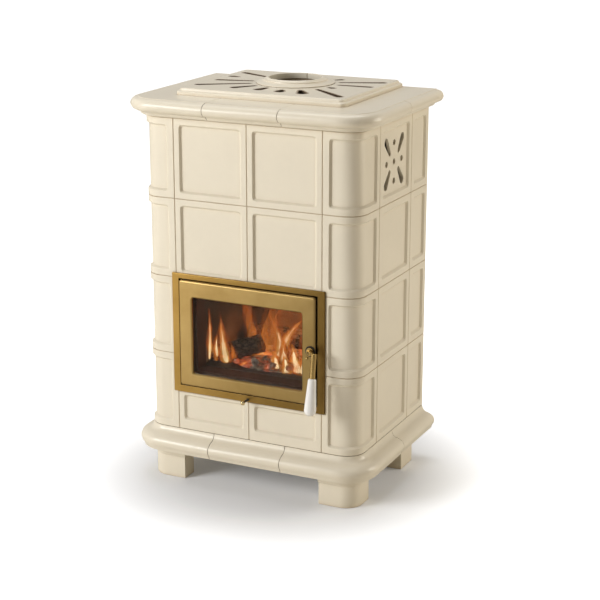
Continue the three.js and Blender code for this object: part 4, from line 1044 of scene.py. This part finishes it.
def floor_material():
    """White to the eye; its glow rises with distance from the stove, so the stove's shadow stays close by and is
    washed out farther off by painted light.
    """
    material, b = blank_material("Studio floor")
    reach = b.add("ShaderNodeVectorMath", {0: b.place()}, operation="LENGTH").outputs["Value"]
    # Painted light: the glow grows from the stove outwards and fills its shadow away from it.
    limits = {"Value": reach, "From Min": 0.27, "From Max": 0.78, "To Min": 0.07, "To Max": 1.0}
    far = b.add("ShaderNodeMapRange", limits, interpolation_type="SMOOTHSTEP").outputs[0]
    lit = b.add("ShaderNodeBsdfDiffuse", {"Color": (0.80, 0.765, 0.70, 1.0)})
    pale = b.add("ShaderNodeBsdfDiffuse", {"Color": (0.86, 0.885, 0.935, 1.0)})
    glow = b.add("ShaderNodeEmission", {"Color": WHITE, "Strength": far})
    white = b.add("ShaderNodeAddShader", {0: pale.outputs[0], 1: glow.outputs[0]})
    seen = b.add("ShaderNodeLightPath").outputs["Is Camera Ray"]
    both = b.add("ShaderNodeMixShader", {0: seen, 1: lit.outputs[0], 2: white.outputs[0]})
    b.add("ShaderNodeOutputMaterial", {"Surface": both.outputs[0]})
    return material


class StoveStage(bpy.types.Operator):
    """Set the floor, the lamps, the world and the camera."""
    bl_idname = "stove.stage"
    bl_label = "Set the stage"

    def execute(self, context):
        settings = context.scene.stove_stage
        scene = context.scene
        deselect_all()
        bpy.ops.mesh.primitive_circle_add(vertices=96, radius=30.0, fill_type="NGON", location=(0, 0, 0))
        floor = context.object
        floor.name = "studio_floor"
        floor.data.materials.append(floor_material())

        softbox("key", (-3.0, -3.6, 1.95), (0, 0, 0.4), (2.2, 2.2), settings.key_power)
        softbox("side", (3.5, 1.9, 1.5), (0, 0, 0.5), (2.0, 2.4), settings.fill_power, (1.0, 0.94, 0.83))
        softbox("top", (-0.4, 0.6, 4.2), (0, 0, 0.9), (2.6, 2.6), settings.top_power)

        for number, (place, power) in enumerate((((0.0, 0.05, 0.43), 0.9), ((0.09, 0.02, 0.38), 0.7)), 1):
            lamp = add_lamp(f"fire_glow_{number}", "POINT", place, power, (1.0, 0.42, 0.14), shadow_soft_size=0.05)
            lamp.visible_camera = lamp.visible_transmission = lamp.visible_glossy = False

        world = bpy.data.worlds.new("Studio")
        world.use_nodes = True
        world.node_tree.nodes.clear()
        b = Board(world.node_tree)
        path = b.add("ShaderNodeLightPath").outputs
        seen = b.maths("MAXIMUM", path["Is Camera Ray"], path["Is Transmission Ray"])
        seen = b.maths("MAXIMUM", seen, b.times(path["Is Glossy Ray"], 0.35))
        soft = b.add("ShaderNodeBackground", {"Color": (1.0, 0.83, 0.60, 1.0), "Strength": 0.14})
        white = b.add("ShaderNodeBackground", {"Color": WHITE, "Strength": 1.0})
        both = b.add("ShaderNodeMixShader", {0: seen, 1: soft.outputs[0], 2: white.outputs[0]})
        b.add("ShaderNodeOutputWorld", {"Surface": both.outputs[0]})
        scene.world = world

        camera_data = bpy.data.cameras.new("view")
        camera_data.sensor_width = SENSOR_WIDTH
        camera_data.lens = settings.lens
        camera_data.clip_end = 100.0
        camera = bpy.data.objects.new("view", camera_data)
        context.collection.objects.link(camera)
        camera.location = settings.eye
        camera.rotation_euler = (math.pi / 2 - settings.pitch, 0.0, settings.yaw)
        scene.camera = camera

        scene.view_settings.view_transform = "Standard"
        return {"FINISHED"}


# ------------------------------------------------------------------ add-on
PIECE_OPERATORS = (StoveCeramics, StoveBrass, StoveIron, StoveSheet, StoveLining, StoveDoorParts, StoveFire)


class StovePanel(bpy.types.Panel):
    """The stove's steps, in order."""
    bl_idname = "VIEW3D_PT_stove"
    bl_label = "Tiled stove"
    bl_space_type = "VIEW_3D"
    bl_region_type = "UI"
    bl_category = "Stove"

    def draw(self, context):
        column = self.layout.column(align=True)
        for operator in (*PIECE_OPERATORS, StoveStage):
            column.operator(operator.bl_idname)


SETTINGS = {
    "stove_glaze": StoveGlazeSettings,
    "stove_metal": StoveMetalSettings,
    "stove_fire": StoveFireSettings,
    "stove_stage": StoveStageSettings,
}
CLASSES = (*SETTINGS.values(), *PIECE_OPERATORS, StoveStage, StovePanel)


def register():
    for cls in CLASSES:
        bpy.utils.register_class(cls)
    for name, cls in SETTINGS.items():
        setattr(bpy.types.Scene, name, bpy.props.PointerProperty(type=cls))


def unregister():
    for name in SETTINGS:
        delattr(bpy.types.Scene, name)
    for cls in reversed(CLASSES):
        bpy.utils.unregister_class(cls)


def main():
    register()
    bpy.ops.stove.ceramics()
    bpy.ops.stove.brass()
    bpy.ops.stove.iron()
    bpy.ops.stove.sheet()
    bpy.ops.stove.lining()
    bpy.ops.stove.door_parts()
    bpy.ops.stove.fire()
    bpy.ops.stove.stage()


if __name__ == "__main__":
    main()
